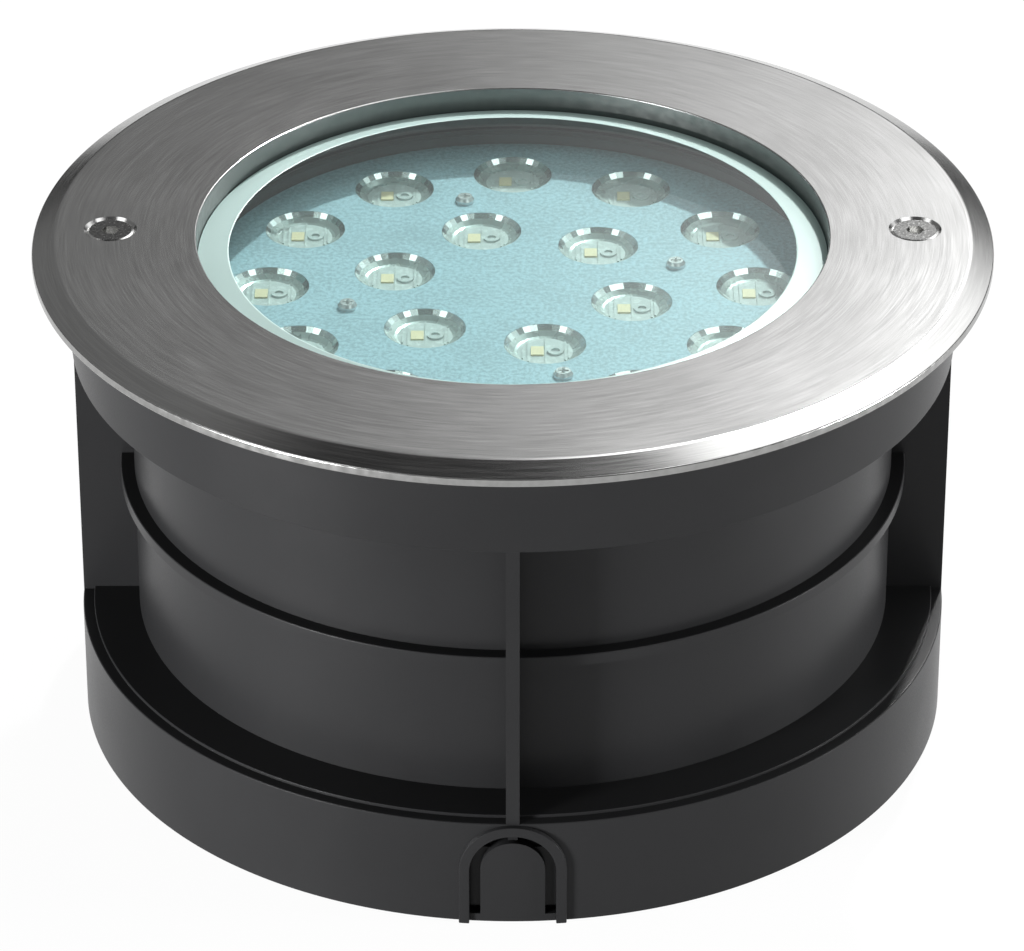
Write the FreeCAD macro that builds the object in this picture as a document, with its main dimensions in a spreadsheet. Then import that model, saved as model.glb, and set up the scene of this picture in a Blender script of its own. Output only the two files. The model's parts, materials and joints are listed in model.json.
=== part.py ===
import FreeCAD, Part
import math
import operator
import os

import Sketcher
from FreeCAD import Placement, Rotation, Vector

# In ground well light: a stainless bezel and sealed lamp body that drop into a buried plastic sleeve.
# Millimetres. +Z is up, the origin is the centre of the sleeve's foot, and the front knock-out faces -Y.

doc = FreeCAD.newDocument("WellLight")

# ---------------------------------------------------------------------------------------------------
# Driving dimensions: name, value and what it measures
# ---------------------------------------------------------------------------------------------------
DRIVING = (
    ("overall_height", "133", "sleeve foot to bezel top"),
    ("edge_break", "0.4", "small bevel on turned and moulded edges"),
    ("slip_gap", "0.2", "gap between round faces that only pass each other"),
    ("running_gap", "0.05", "radial play of a screw in its hole"),
    ("bezel_overlap", "9", "bezel beyond the sleeve"),
    ("bezel_thickness", "4.5", "bezel plate"),
    ("bezel_chamfer_width", "5.6", "sloping rim, measured across"),
    ("bezel_chamfer_drop", "2.4", "sloping rim, measured down"),
    ("window_radius", "79", "hole in the bezel"),
    ("skirt_depth", "2.3", "turned skirt under the bezel that presses on the glass seal"),
    ("glass_recess", "4.5", "bezel top down to the glass"),
    ("glass_thickness", "8", "tempered glass"),
    ("glass_flat_radius", "71", "clear part of the glass inside the ground border"),
    ("glass_bevel_drop", "1.9", "fall of the ground border"),
    ("glass_overlap", "3", "glass edge beyond the window"),
    ("seal_lip", "1", "seal over the glass step"),
    ("seal_base", "1.5", "seal under the glass"),
    ("seal_wall", "1.6", "seal round the glass edge"),
    ("seat_width", "4.1", "ledge that carries the glass and its seal"),
    ("stud_clearance_radius", "2.2", "hole for a bezel stud"),
    ("stud_radius", "2", "M4 weld stud"),
    ("stud_count", "6", "studs round the flange"),
    ("stud_reach", "21.5", "stud length under the bezel"),
    ("flange_land", "2", "metal each side of a flange hole"),
    ("flange_depth", "13.5", "upper flange of the lamp body"),
    ("small_washer_radius", "4", "M4 washer"),
    ("small_washer_thickness", "0.8", "M4 washer"),
    ("small_nut_flats", "7", "M4 nut across flats"),
    ("small_nut_thickness", "3.2", "M4 nut"),
    ("lamp_wall", "3", "wall of the cast cup"),
    ("plate_drop", "2.3", "glass seat down to the cover plate"),
    ("plate_gap", "0.5", "gap round the cover plate"),
    ("plate_thickness", "2", "lens cover plate"),
    ("lens_hole_radius", "10.2", "opening over each lens"),
    ("outer_lens_circle", "61.3", "radius of the outer ring of lenses"),
    ("outer_lens_count", "12", "lenses in the outer ring"),
    ("inner_lens_circle", "30.8", "radius of the inner ring of lenses"),
    ("inner_lens_count", "6", "lenses in the inner ring"),
    ("inner_lens_start", "45", "angle of the first inner lens"),
    ("lens_gap", "0.6", "gap between a lens and its opening"),
    ("lens_recess", "0.8", "plate top down to the lens face"),
    ("lens_rim", "1.2", "rim of a lens"),
    ("lens_rim_step", "0.4", "rim beyond the lens cone"),
    ("lens_foot_radius", "5", "foot of a lens"),
    ("lens_foot_height", "2", "foot of a lens"),
    ("lens_pocket_radius", "3", "hollow over the emitter"),
    ("lens_pocket_height", "3.6", "hollow over the emitter"),
    ("holder_wall", "0.9", "ring that holds a lens foot"),
    ("emitter_side", "3.5", "square emitter package"),
    ("emitter_height", "0.8", "emitter package"),
    ("emitter_dome_radius", "1.3", "silicone dome on the emitter"),
    ("standoff_height", "11", "board to cover plate"),
    ("standoff_flats", "5", "hexagonal standoff across flats"),
    ("plate_screw_radius", "1.25", "M2.5 shank"),
    ("plate_screw_head_radius", "2.45", "M2.5 pan head"),
    ("plate_screw_head_height", "1.6", "M2.5 pan head"),
    ("plate_screw_length", "7", "M2.5 shank under the head"),
    ("cross_width", "0.7", "cross recess slot"),
    ("cross_length", "2.6", "cross recess end to end"),
    ("cross_depth", "0.9", "cross recess"),
    ("plate_screw_far_circle", "47.7", "circle of the front and back cover plate screws"),
    ("plate_screw_far_angle", "105", "angle of the back cover plate screw"),
    ("plate_screw_near_circle", "42.7", "circle of the side cover plate screws"),
    ("plate_screw_near_angle", "15", "angle of the right cover plate screw"),
    ("board_margin", "2", "gap round the LED board"),
    ("board_thickness", "2", "metal core LED board"),
    ("pad_thickness", "0.5", "thermal pad"),
    ("pad_margin", "1.5", "board edge beyond the pad"),
    ("board_screw_count", "6", "screws that hold the board"),
    ("board_screw_angle", "15", "angle of the first board screw"),
    ("board_screw_inset", "3.5", "board edge to screw"),
    ("board_screw_radius", "1.5", "M3 shank"),
    ("board_screw_head_radius", "2.75", "M3 pan head"),
    ("board_screw_head_height", "1.8", "M3 pan head"),
    ("board_screw_length", "7", "M3 shank"),
    ("floor_thickness", "6", "floor between the lens cup and the driver chamber"),
    ("lead_passage_radius", "3.2", "hole in the floor for the LED leads"),
    ("grommet_lip", "1.2", "rubber lip under the floor"),
    ("lead_radius", "0.8", "insulated LED lead"),
    ("lead_spacing", "3.4", "distance between the two leads"),
    ("connector_length", "11", "plug on the LED board"),
    ("connector_width", "9", "plug on the LED board"),
    ("connector_height", "5", "plug on the LED board"),
    ("chamber_depth", "33", "driver chamber under the floor"),
    ("chamber_step", "2", "driver chamber wall beyond the cup wall"),
    ("fin_count", "24", "cooling fins round the lamp body"),
    ("fin_thickness", "2.5", "cooling fin"),
    ("fin_reach", "7", "cooling fin outside the wall"),
    ("lower_flange_depth", "8", "flange that takes the rear cover"),
    ("driver_board_radius", "62", "driver board"),
    ("driver_board_thickness", "1.6", "driver board"),
    ("driver_standoff_height", "12", "floor to driver board"),
    ("driver_standoff_flats", "6", "driver standoff across flats"),
    ("driver_hole_circle", "54", "circle of the driver standoffs"),
    ("transformer_length", "28", "transformer core"),
    ("transformer_width", "24", "transformer core"),
    ("transformer_height", "17", "transformer core"),
    ("transformer_place", "38", "board centre to transformer"),
    ("winding_radius", "10.5", "transformer winding"),
    ("winding_length", "34", "transformer winding"),
    ("capacitor_radius", "6.3", "smoothing capacitor"),
    ("capacitor_height", "15", "smoothing capacitor"),
    ("capacitor_place", "36", "board centre to the capacitors"),
    ("capacitor_spacing", "16", "distance between the capacitors"),
    ("choke_radius", "8", "choke ring, middle of the winding"),
    ("choke_wire_radius", "3.6", "choke winding"),
    ("choke_place", "38", "board centre to choke"),
    ("terminal_length", "24", "terminal block"),
    ("terminal_width", "12", "terminal block"),
    ("terminal_height", "13", "terminal block"),
    ("terminal_place", "40", "board centre to terminal block"),
    ("terminal_hole_radius", "2", "wire entry of the terminal block"),
    ("cover_thickness", "4", "rear cover"),
    ("cover_seal_thickness", "1", "flat seal under the lamp body"),
    ("cover_screw_count", "6", "rear cover screws"),
    ("cover_screw_radius", "2", "M4 shank"),
    ("cover_screw_head_radius", "4", "M4 pan head"),
    ("cover_screw_head_height", "2.6", "M4 pan head"),
    ("cover_screw_grip", "6", "thread in the lamp body"),
    ("gland_thread_radius", "10", "M20 gland thread"),
    ("gland_flats", "24", "gland across flats"),
    ("gland_flange", "5", "gland hexagon"),
    ("gland_washer", "1.2", "gland sealing washer"),
    ("gland_washer_width", "2.8", "gland sealing washer"),
    ("gland_locknut", "4.5", "gland locknut"),
    ("gland_tail", "3", "gland thread above its locknut"),
    ("gland_neck_radius", "9.2", "lower gland thread"),
    ("gland_neck_length", "11", "lower gland thread"),
    ("gland_seal_radius", "8", "rubber insert in the gland"),
    ("gland_seal_length", "12", "rubber insert in the gland"),
    ("cable_radius", "5", "cable the gland clamps"),
    ("dome_length", "15", "dome nut"),
    ("dome_mouth_radius", "6.4", "mouth of the dome nut"),
    ("dome_crown", "4.5", "rounded part of the dome nut"),
    ("ledge_width", "14.5", "sleeve wall out to the collar, fins and base ring"),
    ("sleeve_wall", "3", "wall of the moulded sleeve"),
    ("sleeve_play", "1.1", "lamp flange to sleeve bore"),
    ("collar_depth", "23", "upper collar"),
    ("rib_reach", "3.5", "middle rib outside the sleeve wall"),
    ("rib_height", "2.9", "middle rib"),
    ("rib_drop", "59.1", "collar top down to the middle rib"),
    ("base_height", "28.7", "base ring"),
    ("base_rim_width", "2.8", "lower rim round the ledge"),
    ("base_rim_step", "0.8", "ledge above its rim"),
    ("sleeve_fin_count", "4", "radial fins of the sleeve"),
    ("sleeve_fin_thickness", "3.3", "radial fin of the sleeve"),
    ("stiffener_count", "28", "ribs under the collar"),
    ("stiffener_thickness", "2", "rib under the collar"),
    ("stiffener_lift", "6", "collar edge up to the ribs"),
    ("insert_radius", "4.5", "brass threaded insert"),
    ("insert_length", "12.5", "brass threaded insert"),
    ("insert_inset", "0.5", "sleeve top down to the insert"),
    ("boss_wall", "2.5", "plastic round the insert"),
    ("lock_screw_radius", "3", "M6 shank"),
    ("lock_screw_head_radius", "5.85", "M6 countersunk head"),
    ("lock_screw_length", "20", "M6 screw with its head"),
    ("lock_screw_land", "0.2", "straight edge of the countersunk head"),
    ("lock_screw_recess", "0.3", "bezel top down to the screw head"),
    ("lock_screw_socket", "4", "hexagon socket across flats"),
    ("lock_screw_socket_depth", "2.2", "hexagon socket"),
    ("countersink_gap", "0.25", "gap round the countersunk head"),
    ("thread_gap", "0.1", "play of a lock screw in its thread and its washer"),
    ("lock_washer_radius", "4.5", "sealing washer under the head"),
    ("lock_washer_thickness", "0.6", "sealing washer under the head"),
    ("lock_washer_floor", "0.45", "bezel metal under the washer"),
    ("knockout_half_width", "13.2", "raised frame of the knock-out"),
    ("knockout_proud", "1.3", "frame outside the base ring"),
    ("knockout_centre", "15.2", "foot up to the arch centre of the knock-out"),
    ("score_half_width", "10.6", "outer edge of the scored line"),
    ("score_width", "2.7", "scored line"),
    ("score_depth", "1.6", "scored line into the base ring"),
    ("score_end", "2.3", "foot up to the scored line"),
    ("slot_height", "1.5", "open slot at the foot of the scored line"),
    ("slot_bridge", "2.4", "bridge that holds the tab at the top"),
    ("arc_start", "5.8", "arch centre up to the open part of the scored line"),
)

sheet = doc.addObject("Spreadsheet::Sheet", "Sizes")
for row, (alias, value, meaning) in enumerate(DRIVING, start=1):
    sheet.set("A{}".format(row), value)
    sheet.setAlias("A{}".format(row), alias)
    sheet.set("B{}".format(row), meaning)
doc.recompute()

OPERATIONS = {"+": operator.add, "-": operator.sub, "*": operator.mul, "/": operator.truediv}


class Size:
    """A length, angle or count from the sheet: its formula for setExpression, and what it comes to."""

    def __init__(self, formula, value):
        self.formula = formula
        self.value = float(value)

    def _join(self, sign, other, swap=False):
        other = other if isinstance(other, Size) else Size(str(other), other)
        left, right = (other, self) if swap else (self, other)
        formula = "({} {} {})".format(left.formula, sign, right.formula)
        return Size(formula, OPERATIONS[sign](left.value, right.value))

    def __add__(self, other):
        return self._join("+", other)

    def __sub__(self, other):
        return self._join("-", other)

    def __mul__(self, other):
        return self._join("*", other)

    def __rmul__(self, other):
        return self._join("*", other, swap=True)

    def __truediv__(self, other):
        return self._join("/", other)

    def __neg__(self):
        return Size("(0 - {})".format(self.formula), -self.value)

    def __int__(self):
        return int(round(self.value))


class Sheet:
    """The sheet's sizes by name."""

    def __getattr__(self, alias):
        return Size("Sizes." + alias, sheet.get(alias))


size = Sheet()
AXIS = None  # a coordinate that lies on the sketch's own axis
FULL_TURN = Size("360", 360)


def cosine(angle):
    return Size("cos({})".format(angle.formula), math.cos(math.radians(angle.value)))


def sine(angle):
    return Size("sin({})".format(angle.formula), math.sin(math.radians(angle.value)))


def on_circle(radius, angle):
    """Across and along coordinates of a place on a circle about the object's axis."""
    return radius * cosine(angle), radius * sine(angle)


def spread(count, start):
    """Angles of evenly spaced places, the first at start."""
    return [start + FULL_TURN * index / count for index in range(int(count))]


ZERO = Size("0", 0)

# ---------------------------------------------------------------------------------------------------
# Sizes worked out from the driving ones
# ---------------------------------------------------------------------------------------------------
# Heights, from the bezel down
bezel_top = size.overall_height
bezel_bottom = bezel_top - size.bezel_thickness
skirt_bottom = bezel_bottom - size.skirt_depth
glass_top = bezel_top - size.glass_recess
glass_step = skirt_bottom - size.seal_lip
glass_bottom = glass_top - size.glass_thickness
glass_seat = glass_bottom - size.seal_base
plate_top = glass_seat - size.plate_drop
plate_bottom = plate_top - size.plate_thickness
board_top = plate_bottom - size.standoff_height
board_bottom = board_top - size.board_thickness
floor_top = board_bottom - size.pad_thickness
floor_bottom = floor_top - size.floor_thickness
driver_board_top = floor_bottom - size.driver_standoff_height
driver_board_bottom = driver_board_top - size.driver_board_thickness
lamp_bottom = floor_bottom - size.chamber_depth
cover_top = lamp_bottom - size.cover_seal_thickness
cover_bottom = cover_top - size.cover_thickness
gland_flange_top = cover_bottom - size.gland_washer
gland_flange_bottom = gland_flange_top - size.gland_flange
sleeve_top = bezel_bottom
collar_bottom = sleeve_top - size.collar_depth
flange_underside = bezel_bottom - size.flange_depth
lens_face = plate_top - size.lens_recess

# Radii, from the window outwards
glass_radius = size.window_radius + size.glass_overlap
seal_inside = glass_radius + size.slip_gap
seal_outside = seal_inside + size.seal_wall
recess_radius = seal_outside + size.slip_gap
cup_radius = recess_radius - size.seat_width
cup_outside = cup_radius + size.lamp_wall
chamber_radius = cup_radius - size.chamber_step
stud_circle = recess_radius + size.flange_land + size.stud_clearance_radius
flange_radius = stud_circle + size.stud_clearance_radius + size.flange_land
sleeve_bore = flange_radius + size.sleeve_play
sleeve_outside = sleeve_bore + size.sleeve_wall
sleeve_radius = sleeve_outside + size.ledge_width
bezel_radius = sleeve_radius + size.bezel_overlap
plate_radius = cup_radius - size.plate_gap
board_radius = cup_radius - size.board_margin
board_screw_circle = board_radius - size.board_screw_inset
lens_radius = size.lens_hole_radius - size.lens_gap
cover_screw_hole = size.cover_screw_radius + size.slip_gap
cover_screw_circle = cup_outside + cover_screw_hole + size.edge_break
cover_radius = cover_screw_circle + cover_screw_hole + size.flange_land
insert_circle = sleeve_bore + size.boss_wall + size.insert_radius
gland_hole = size.gland_thread_radius + size.slip_gap

# ---------------------------------------------------------------------------------------------------
# Helpers
# ---------------------------------------------------------------------------------------------------
pieces = []  # (node name, object) of every finished sub-part


def keep(node, thing):
    """Names a finished sub-part after its node."""
    thing.Label = node
    pieces.append((node, thing))
    return thing


def origin_feature(body, role):
    return next(feature for feature in body.Origin.OriginFeatures if feature.Role == role)


def new_body(name, place=None):
    """A body, moved to place (x, y, z) when one is given."""
    body = doc.addObject("PartDesign::Body", name)
    if place is not None:
        body.Placement = Placement(Vector(*(axis.value for axis in place)), Rotation())
        for axis, amount in zip("xyz", place):
            body.setExpression("Placement.Base." + axis, amount.formula)
    return body


def new_sketch(body, name, plane="XZ_Plane", offset=None):
    sketch = body.newObject("Sketcher::SketchObject", name)
    sketch.AttachmentSupport = [(origin_feature(body, plane), "")]
    sketch.MapMode = "FlatFace"
    if offset is not None:
        sketch.AttachmentOffset = Placement(Vector(0, 0, offset.value), Rotation())
        sketch.setExpression("AttachmentOffset.Base.z", offset.formula)
    return sketch


def tie(sketch, kind, *where):
    """Adds a dimension to the sketch, driven by the sheet."""
    amount = where[-1]
    number = sketch.addConstraint(Sketcher.Constraint(kind, *where[:-1], amount.value))
    sketch.setExpression("Constraints[{}]".format(number), amount.formula)


def place_point(sketch, line, end, across, up):
    """Ties one point of a line or circle to the sketch's origin."""
    if across is AXIS:
        sketch.addConstraint(Sketcher.Constraint("PointOnObject", line, end, -2))
    else:
        tie(sketch, "DistanceX", -1, 1, line, end, across)
    if up is AXIS:
        sketch.addConstraint(Sketcher.Constraint("PointOnObject", line, end, -1))
    else:
        tie(sketch, "DistanceY", -1, 1, line, end, up)


def spot(across, up):
    return Vector(across.value if across else 0, up.value if up else 0, 0)


def polygon(sketch, corners):
    """Closed straight-sided outline through corners, each an (across, up) pair of sizes."""
    first = sketch.GeometryCount
    count = len(corners)
    for index in range(count):
        line = Part.LineSegment(spot(*corners[index]), spot(*corners[(index + 1) % count]))
        sketch.addGeometry(line, False)
    for index in range(count):
        following = first + (index + 1) % count
        sketch.addConstraint(Sketcher.Constraint("Coincident", first + index, 2, following, 1))
    for index, (across, up) in enumerate(corners):
        place_point(sketch, first + index, 1, across, up)


def rectangle(sketch, low_x, low_y, high_x, high_y):
    polygon(sketch, [(low_x, low_y), (high_x, low_y), (high_x, high_y), (low_x, high_y)])


def hexagon(sketch, flats, turn=30):
    """Hexagon about the sketch's origin, from its size across flats."""
    corner = flats / (2 * cosine(Size("30", 30)))
    angles = spread(Size("6", 6), Size(str(turn), turn))
    polygon(sketch, [on_circle(corner, angle) for angle in angles])


def circle(sketch, radius, across=AXIS, up=AXIS):
    number = sketch.GeometryCount
    sketch.addGeometry(Part.Circle(spot(across, up), Vector(0, 0, 1), radius.value), False)
    tie(sketch, "Radius", number, radius)
    place_point(sketch, number, 3, across, up)


def arch(sketch, half_width, foot, centre):
    """Door shape: straight legs up from foot to centre, and a half circle above."""
    first = sketch.GeometryCount
    left = -half_width
    corners = [spot(left, centre), spot(left, foot), spot(half_width, foot), spot(half_width, centre)]
    for start, end in zip(corners, corners[1:]):
        sketch.addGeometry(Part.LineSegment(start, end), False)
    round_top = Part.Circle(spot(AXIS, centre), Vector(0, 0, 1), half_width.value)
    sketch.addGeometry(Part.ArcOfCircle(round_top, 0, math.pi), False)
    for line in (first, first + 1):
        sketch.addConstraint(Sketcher.Constraint("Coincident", line, 2, line + 1, 1))
    sketch.addConstraint(Sketcher.Constraint("Coincident", first + 2, 2, first + 3, 1))
    sketch.addConstraint(Sketcher.Constraint("Coincident", first + 3, 2, first, 1))
    place_point(sketch, first, 2, left, foot)
    place_point(sketch, first + 2, 1, half_width, foot)
    sketch.addConstraint(Sketcher.Constraint("Vertical", first + 2))
    place_point(sketch, first + 3, 3, AXIS, centre)
    for line, end in ((first, 1), (first + 2, 2)):
        tie(sketch, "DistanceY", -1, 1, line, end, centre)


def turned(body, outline, name="Turned", kind="PartDesign::Revolution"):
    """Adds (or, as a Groove, cuts) the outline spun about the body's upright axis."""
    sketch = new_sketch(body, name + "Outline")
    polygon(sketch, outline)
    feature = body.newObject(kind, name)
    feature.Profile = sketch
    feature.ReferenceAxis = (sketch, ["V_Axis"])
    feature.Angle = 360
    return feature


def extruded(body, sketch, length, name="Pad", kind="PartDesign::Pad"):
    """A Pad that rises from the sketch, or a Pocket that sinks below it."""
    feature = body.newObject(kind, name)
    feature.Profile = sketch
    feature.Length = length.value
    feature.setExpression("Length", length.formula)
    return feature


def drilled(body, top, depth, radius, across=AXIS, up=AXIS, name="Hole"):
    """Round hole that starts at height top and goes down by depth."""
    sketch = new_sketch(body, name + "Sketch", "XY_Plane", top)
    circle(sketch, radius, across, up)
    return extruded(body, sketch, depth, name, "PartDesign::Pocket")


def repeated(body, features, count, name="Round"):
    """The features copied evenly about the body's upright axis."""
    pattern = body.newObject("PartDesign::PolarPattern", name)
    pattern.Originals = features
    pattern.Axis = (origin_feature(body, "Z_Axis"), [""])
    pattern.Angle = 360
    pattern.Occurrences = int(count)
    pattern.setExpression("Occurrences", count.formula)
    body.Tip = pattern
    return pattern


def ring_outline(inside, outside, low, high):
    return [(inside, low), (outside, low), (outside, high), (inside, high)]


def rod_outline(radius, low, high):
    return [(AXIS, low), (radius, low), (radius, high), (AXIS, high)]


def ring(name, inside, outside, low, high, place=None):
    body = new_body(name, place)
    turned(body, ring_outline(inside, outside, low, high))
    return body


def group(node, members):
    """Like pieces that share one node as separate solids."""
    compound = doc.addObject("Part::Compound", node)
    compound.Links = members
    return keep(node, compound)


def primitive(kind, name, place, **sizes):
    """A Part primitive with its sizes and place bound to the sheet."""
    shape = doc.addObject(kind, name)
    for setting, amount in sizes.items():
        setattr(shape, setting, amount.value)
        shape.setExpression(setting, amount.formula)
    shape.Placement = Placement(Vector(*(axis.value for axis in place)), Rotation())
    for axis, amount in zip("xyz", place):
        shape.setExpression("Placement.Base." + axis, amount.formula)
    return shape


def combined(kind, name, shapes):
    result = doc.addObject(kind, name)
    result.Shapes = shapes
    result.Refine = False
    return result


def less(name, base, tool):
    result = doc.addObject("Part::Cut", name)
    result.Base = base
    result.Tool = tool
    result.Refine = False
    return result


def block(name, centre_x, centre_y, low, length, width, height):
    """Upright box centred on a place."""
    place = (centre_x - length / 2, centre_y - width / 2, low)
    return primitive("Part::Box", name, place, Length=length, Width=width, Height=height)


# ---------------------------------------------------------------------------------------------------
# Mounting sleeve: one moulding with collar, middle rib, fins, base ring and two arched knock-outs
# ---------------------------------------------------------------------------------------------------
ledge_top = size.base_height + size.base_rim_step
ledge_underside = ledge_top - size.sleeve_wall
collar_underside = sleeve_top - size.sleeve_wall
skin_inside = sleeve_radius - size.sleeve_wall
rim_inside = sleeve_radius - size.base_rim_width
rib_top = sleeve_top - size.rib_drop
rib_bottom = rib_top - size.rib_height
rib_radius = sleeve_outside + size.rib_reach


def sleeve_shell():
    """The turned part of the moulding, its fins, the ribs under the collar and the insert bosses."""
    body = new_body("SleeveShell")
    edge = size.edge_break
    turned(body, [
        (skin_inside, AXIS),
        (sleeve_radius - edge, AXIS),
        (sleeve_radius, edge),
        (sleeve_radius, size.base_height - edge),
        (sleeve_radius - edge, size.base_height),
        (rim_inside, size.base_height),
        (rim_inside, ledge_top),
        (sleeve_outside, ledge_top),
        (sleeve_outside, rib_bottom),
        (rib_radius, rib_bottom),
        (rib_radius, rib_top - edge),
        (rib_radius - edge, rib_top),
        (sleeve_outside, rib_top),
        (sleeve_outside, collar_underside),
        (skin_inside, collar_underside),
        (skin_inside, collar_bottom),
        (sleeve_radius, collar_bottom),
        (sleeve_radius, sleeve_top - edge),
        (sleeve_radius - edge, sleeve_top),
        (sleeve_bore + edge, sleeve_top),
        (sleeve_bore, sleeve_top - edge),
        (sleeve_bore, ledge_underside),
        (skin_inside, ledge_underside),
    ])
    root = sleeve_outside - size.sleeve_wall / 2
    fin_low = size.base_height - size.edge_break
    fin_high = collar_underside + size.edge_break
    fin_sketch = new_sketch(body, "FinSketch", "XY_Plane", fin_low)
    half_fin = size.sleeve_fin_thickness / 2
    rectangle(fin_sketch, root, -half_fin, sleeve_radius - size.running_gap, half_fin)
    fin = extruded(body, fin_sketch, fin_high - fin_low, "Fin")
    repeated(body, [fin], size.sleeve_fin_count, "Fins")

    rib_low = collar_bottom + size.stiffener_lift
    rib_sketch = new_sketch(body, "StiffenerSketch", "XY_Plane", rib_low)
    half_rib = size.stiffener_thickness / 2
    rectangle(rib_sketch, root, -half_rib, skin_inside + size.edge_break, half_rib)
    stiffener = extruded(body, rib_sketch, fin_high - rib_low, "Stiffener")
    repeated(body, [stiffener], size.stiffener_count, "Stiffeners")

    boss_sketch = new_sketch(body, "BossSketch", "XY_Plane", collar_bottom)
    circle(boss_sketch, size.insert_radius + size.boss_wall, insert_circle)
    boss = extruded(body, boss_sketch, fin_high - collar_bottom, "Boss")
    repeated(body, [boss], Size("2", 2), "Bosses")

    insert_depth = size.insert_inset + size.insert_length
    bore_radius = size.insert_radius + size.running_gap
    insert_hole = drilled(body, sleeve_top, insert_depth, bore_radius, insert_circle, name="InsertHole")
    tip_radius = size.lock_screw_radius + size.boss_wall / 2
    tip_depth = size.collar_depth - size.sleeve_wall
    tip_hole = drilled(body, sleeve_top, tip_depth, tip_radius, insert_circle, name="TipHole")
    repeated(body, [insert_hole, tip_hole], Size("2", 2), "InsertHoles")
    return body


def arch_prism(name, half_width, foot):
    """Arch that runs through the sleeve from front to back."""
    body = new_body(name)
    reach = sleeve_radius + 2 * size.knockout_proud
    sketch = new_sketch(body, name + "Sketch", "XZ_Plane", -reach)
    arch(sketch, half_width, foot, size.knockout_centre)
    extruded(body, sketch, 2 * reach)
    return body


ORIGIN = (ZERO, ZERO, ZERO)


def base_band(name, inside, outside):
    """Ring as high as the base ring, between two radii."""
    drum = primitive("Part::Cylinder", name + "Drum", ORIGIN, Radius=outside, Height=size.base_height)
    core = primitive("Part::Cylinder", name + "Core", ORIGIN, Radius=inside, Height=size.base_height)
    return less(name, drum, core)


def mounting_sleeve():
    # Raised frame round each knock-out
    frame_radius = sleeve_radius + size.knockout_proud
    frame_ring = base_band("FrameRing", sleeve_radius - size.base_rim_width / 2, frame_radius)
    frame_arch = arch_prism("FrameArch", size.knockout_half_width, ZERO)
    frames = combined("Part::MultiCommon", "Frames", [frame_ring, frame_arch])
    # The tab inside the scored line lies flush with the base ring
    tab_half_width = size.score_half_width - size.score_width
    tab_ring = base_band("TabRing", sleeve_radius, frame_radius + size.knockout_proud)
    tab_arch = arch_prism("TabArch", tab_half_width, ZERO)
    tab_cut = combined("Part::MultiCommon", "TabCut", [tab_ring, tab_arch])
    # Scored line, shallow along the legs and open along the arch and at its feet
    outer_arch = arch_prism("ScoreOuterArch", size.score_half_width, size.score_end)
    inner_arch = arch_prism("ScoreInnerArch", tab_half_width, ZERO)
    score = less("Score", outer_arch, inner_arch)
    scored_ring = base_band("ScoredRing", sleeve_radius - size.score_depth,
                            frame_radius + size.knockout_proud)
    groove = combined("Part::MultiCommon", "Groove", [score, scored_ring])
    reach = 2 * (frame_radius + size.knockout_proud)
    leg_low = size.score_end + size.slot_height
    leg_high = size.knockout_centre + size.arc_start
    width = 2 * size.knockout_half_width
    legs = block("Legs", ZERO, ZERO, leg_low, width, reach, leg_high - leg_low)
    bridge = block("Bridge", ZERO, ZERO, leg_low, size.slot_bridge, reach, size.base_height)
    open_score = less("OpenScore", score, combined("Part::MultiFuse", "Uncut", [legs, bridge]))
    wall_ring = base_band("WallRing", skin_inside - size.sleeve_wall, frame_radius + size.knockout_proud)
    slots = combined("Part::MultiCommon", "Slots", [open_score, wall_ring])
    moulding = combined("Part::MultiFuse", "Moulding", [sleeve_shell(), frames])
    # Foot under the tab stays flush too, so the frame ends as two feet
    cuts = combined("Part::MultiFuse", "KnockoutCuts", [tab_cut, groove, slots])
    keep("mounting_sleeve", less("MountingSleeve", moulding, cuts))


def thread_inserts():
    top = sleeve_top - size.insert_inset
    inside = size.lock_screw_radius + size.thread_gap
    sides = (insert_circle, -insert_circle)
    group("thread_inserts", [
        ring("Insert", inside, size.insert_radius, ZERO, size.insert_length,
             (side, ZERO, top - size.insert_length))
        for side in sides
    ])


# ---------------------------------------------------------------------------------------------------
# Bezel, glass and seal
# ---------------------------------------------------------------------------------------------------
head_top = bezel_top - size.lock_screw_recess
head_land_bottom = head_top - size.lock_screw_land
head_cone_height = size.lock_screw_head_radius - size.lock_screw_radius
washer_low = bezel_bottom + size.lock_washer_floor
washer_inside = size.lock_screw_radius + size.thread_gap


def bezel_ring():
    body = new_body("BezelRing")
    edge = size.edge_break
    skirt_outside = recess_radius - size.slip_gap - size.edge_break
    turned(body, [
        (size.window_radius, skirt_bottom),
        (skirt_outside, skirt_bottom),
        (skirt_outside, bezel_bottom),
        (bezel_radius - edge, bezel_bottom),
        (bezel_radius, bezel_bottom + edge),
        (bezel_radius, bezel_top - size.bezel_chamfer_drop),
        (bezel_radius - size.bezel_chamfer_width, bezel_top),
        (size.window_radius + edge, bezel_top),
        (size.window_radius, bezel_top - edge),
    ])
    shank_hole = size.lock_screw_radius + size.countersink_gap
    seat_radius = size.lock_washer_radius + size.slip_gap
    widest = size.lock_screw_head_radius + size.countersink_gap + size.lock_screw_recess
    widest = widest + size.lock_screw_land
    cone_height = widest - size.lock_screw_radius
    holes = []
    for side in (insert_circle, -insert_circle):
        holes.append(primitive("Part::Cylinder", "ShankHole", (side, ZERO, bezel_bottom),
                               Radius=shank_hole, Height=size.bezel_thickness))
        holes.append(primitive("Part::Cylinder", "WasherSeat", (side, ZERO, washer_low),
                               Radius=seat_radius, Height=bezel_top - washer_low))
        holes.append(primitive("Part::Cone", "Countersink", (side, ZERO, bezel_top - cone_height),
                               Radius1=size.lock_screw_radius, Radius2=widest, Height=cone_height))
    keep("bezel_ring", less("Bezel", body, combined("Part::MultiFuse", "LockScrewHoles", holes)))


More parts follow.
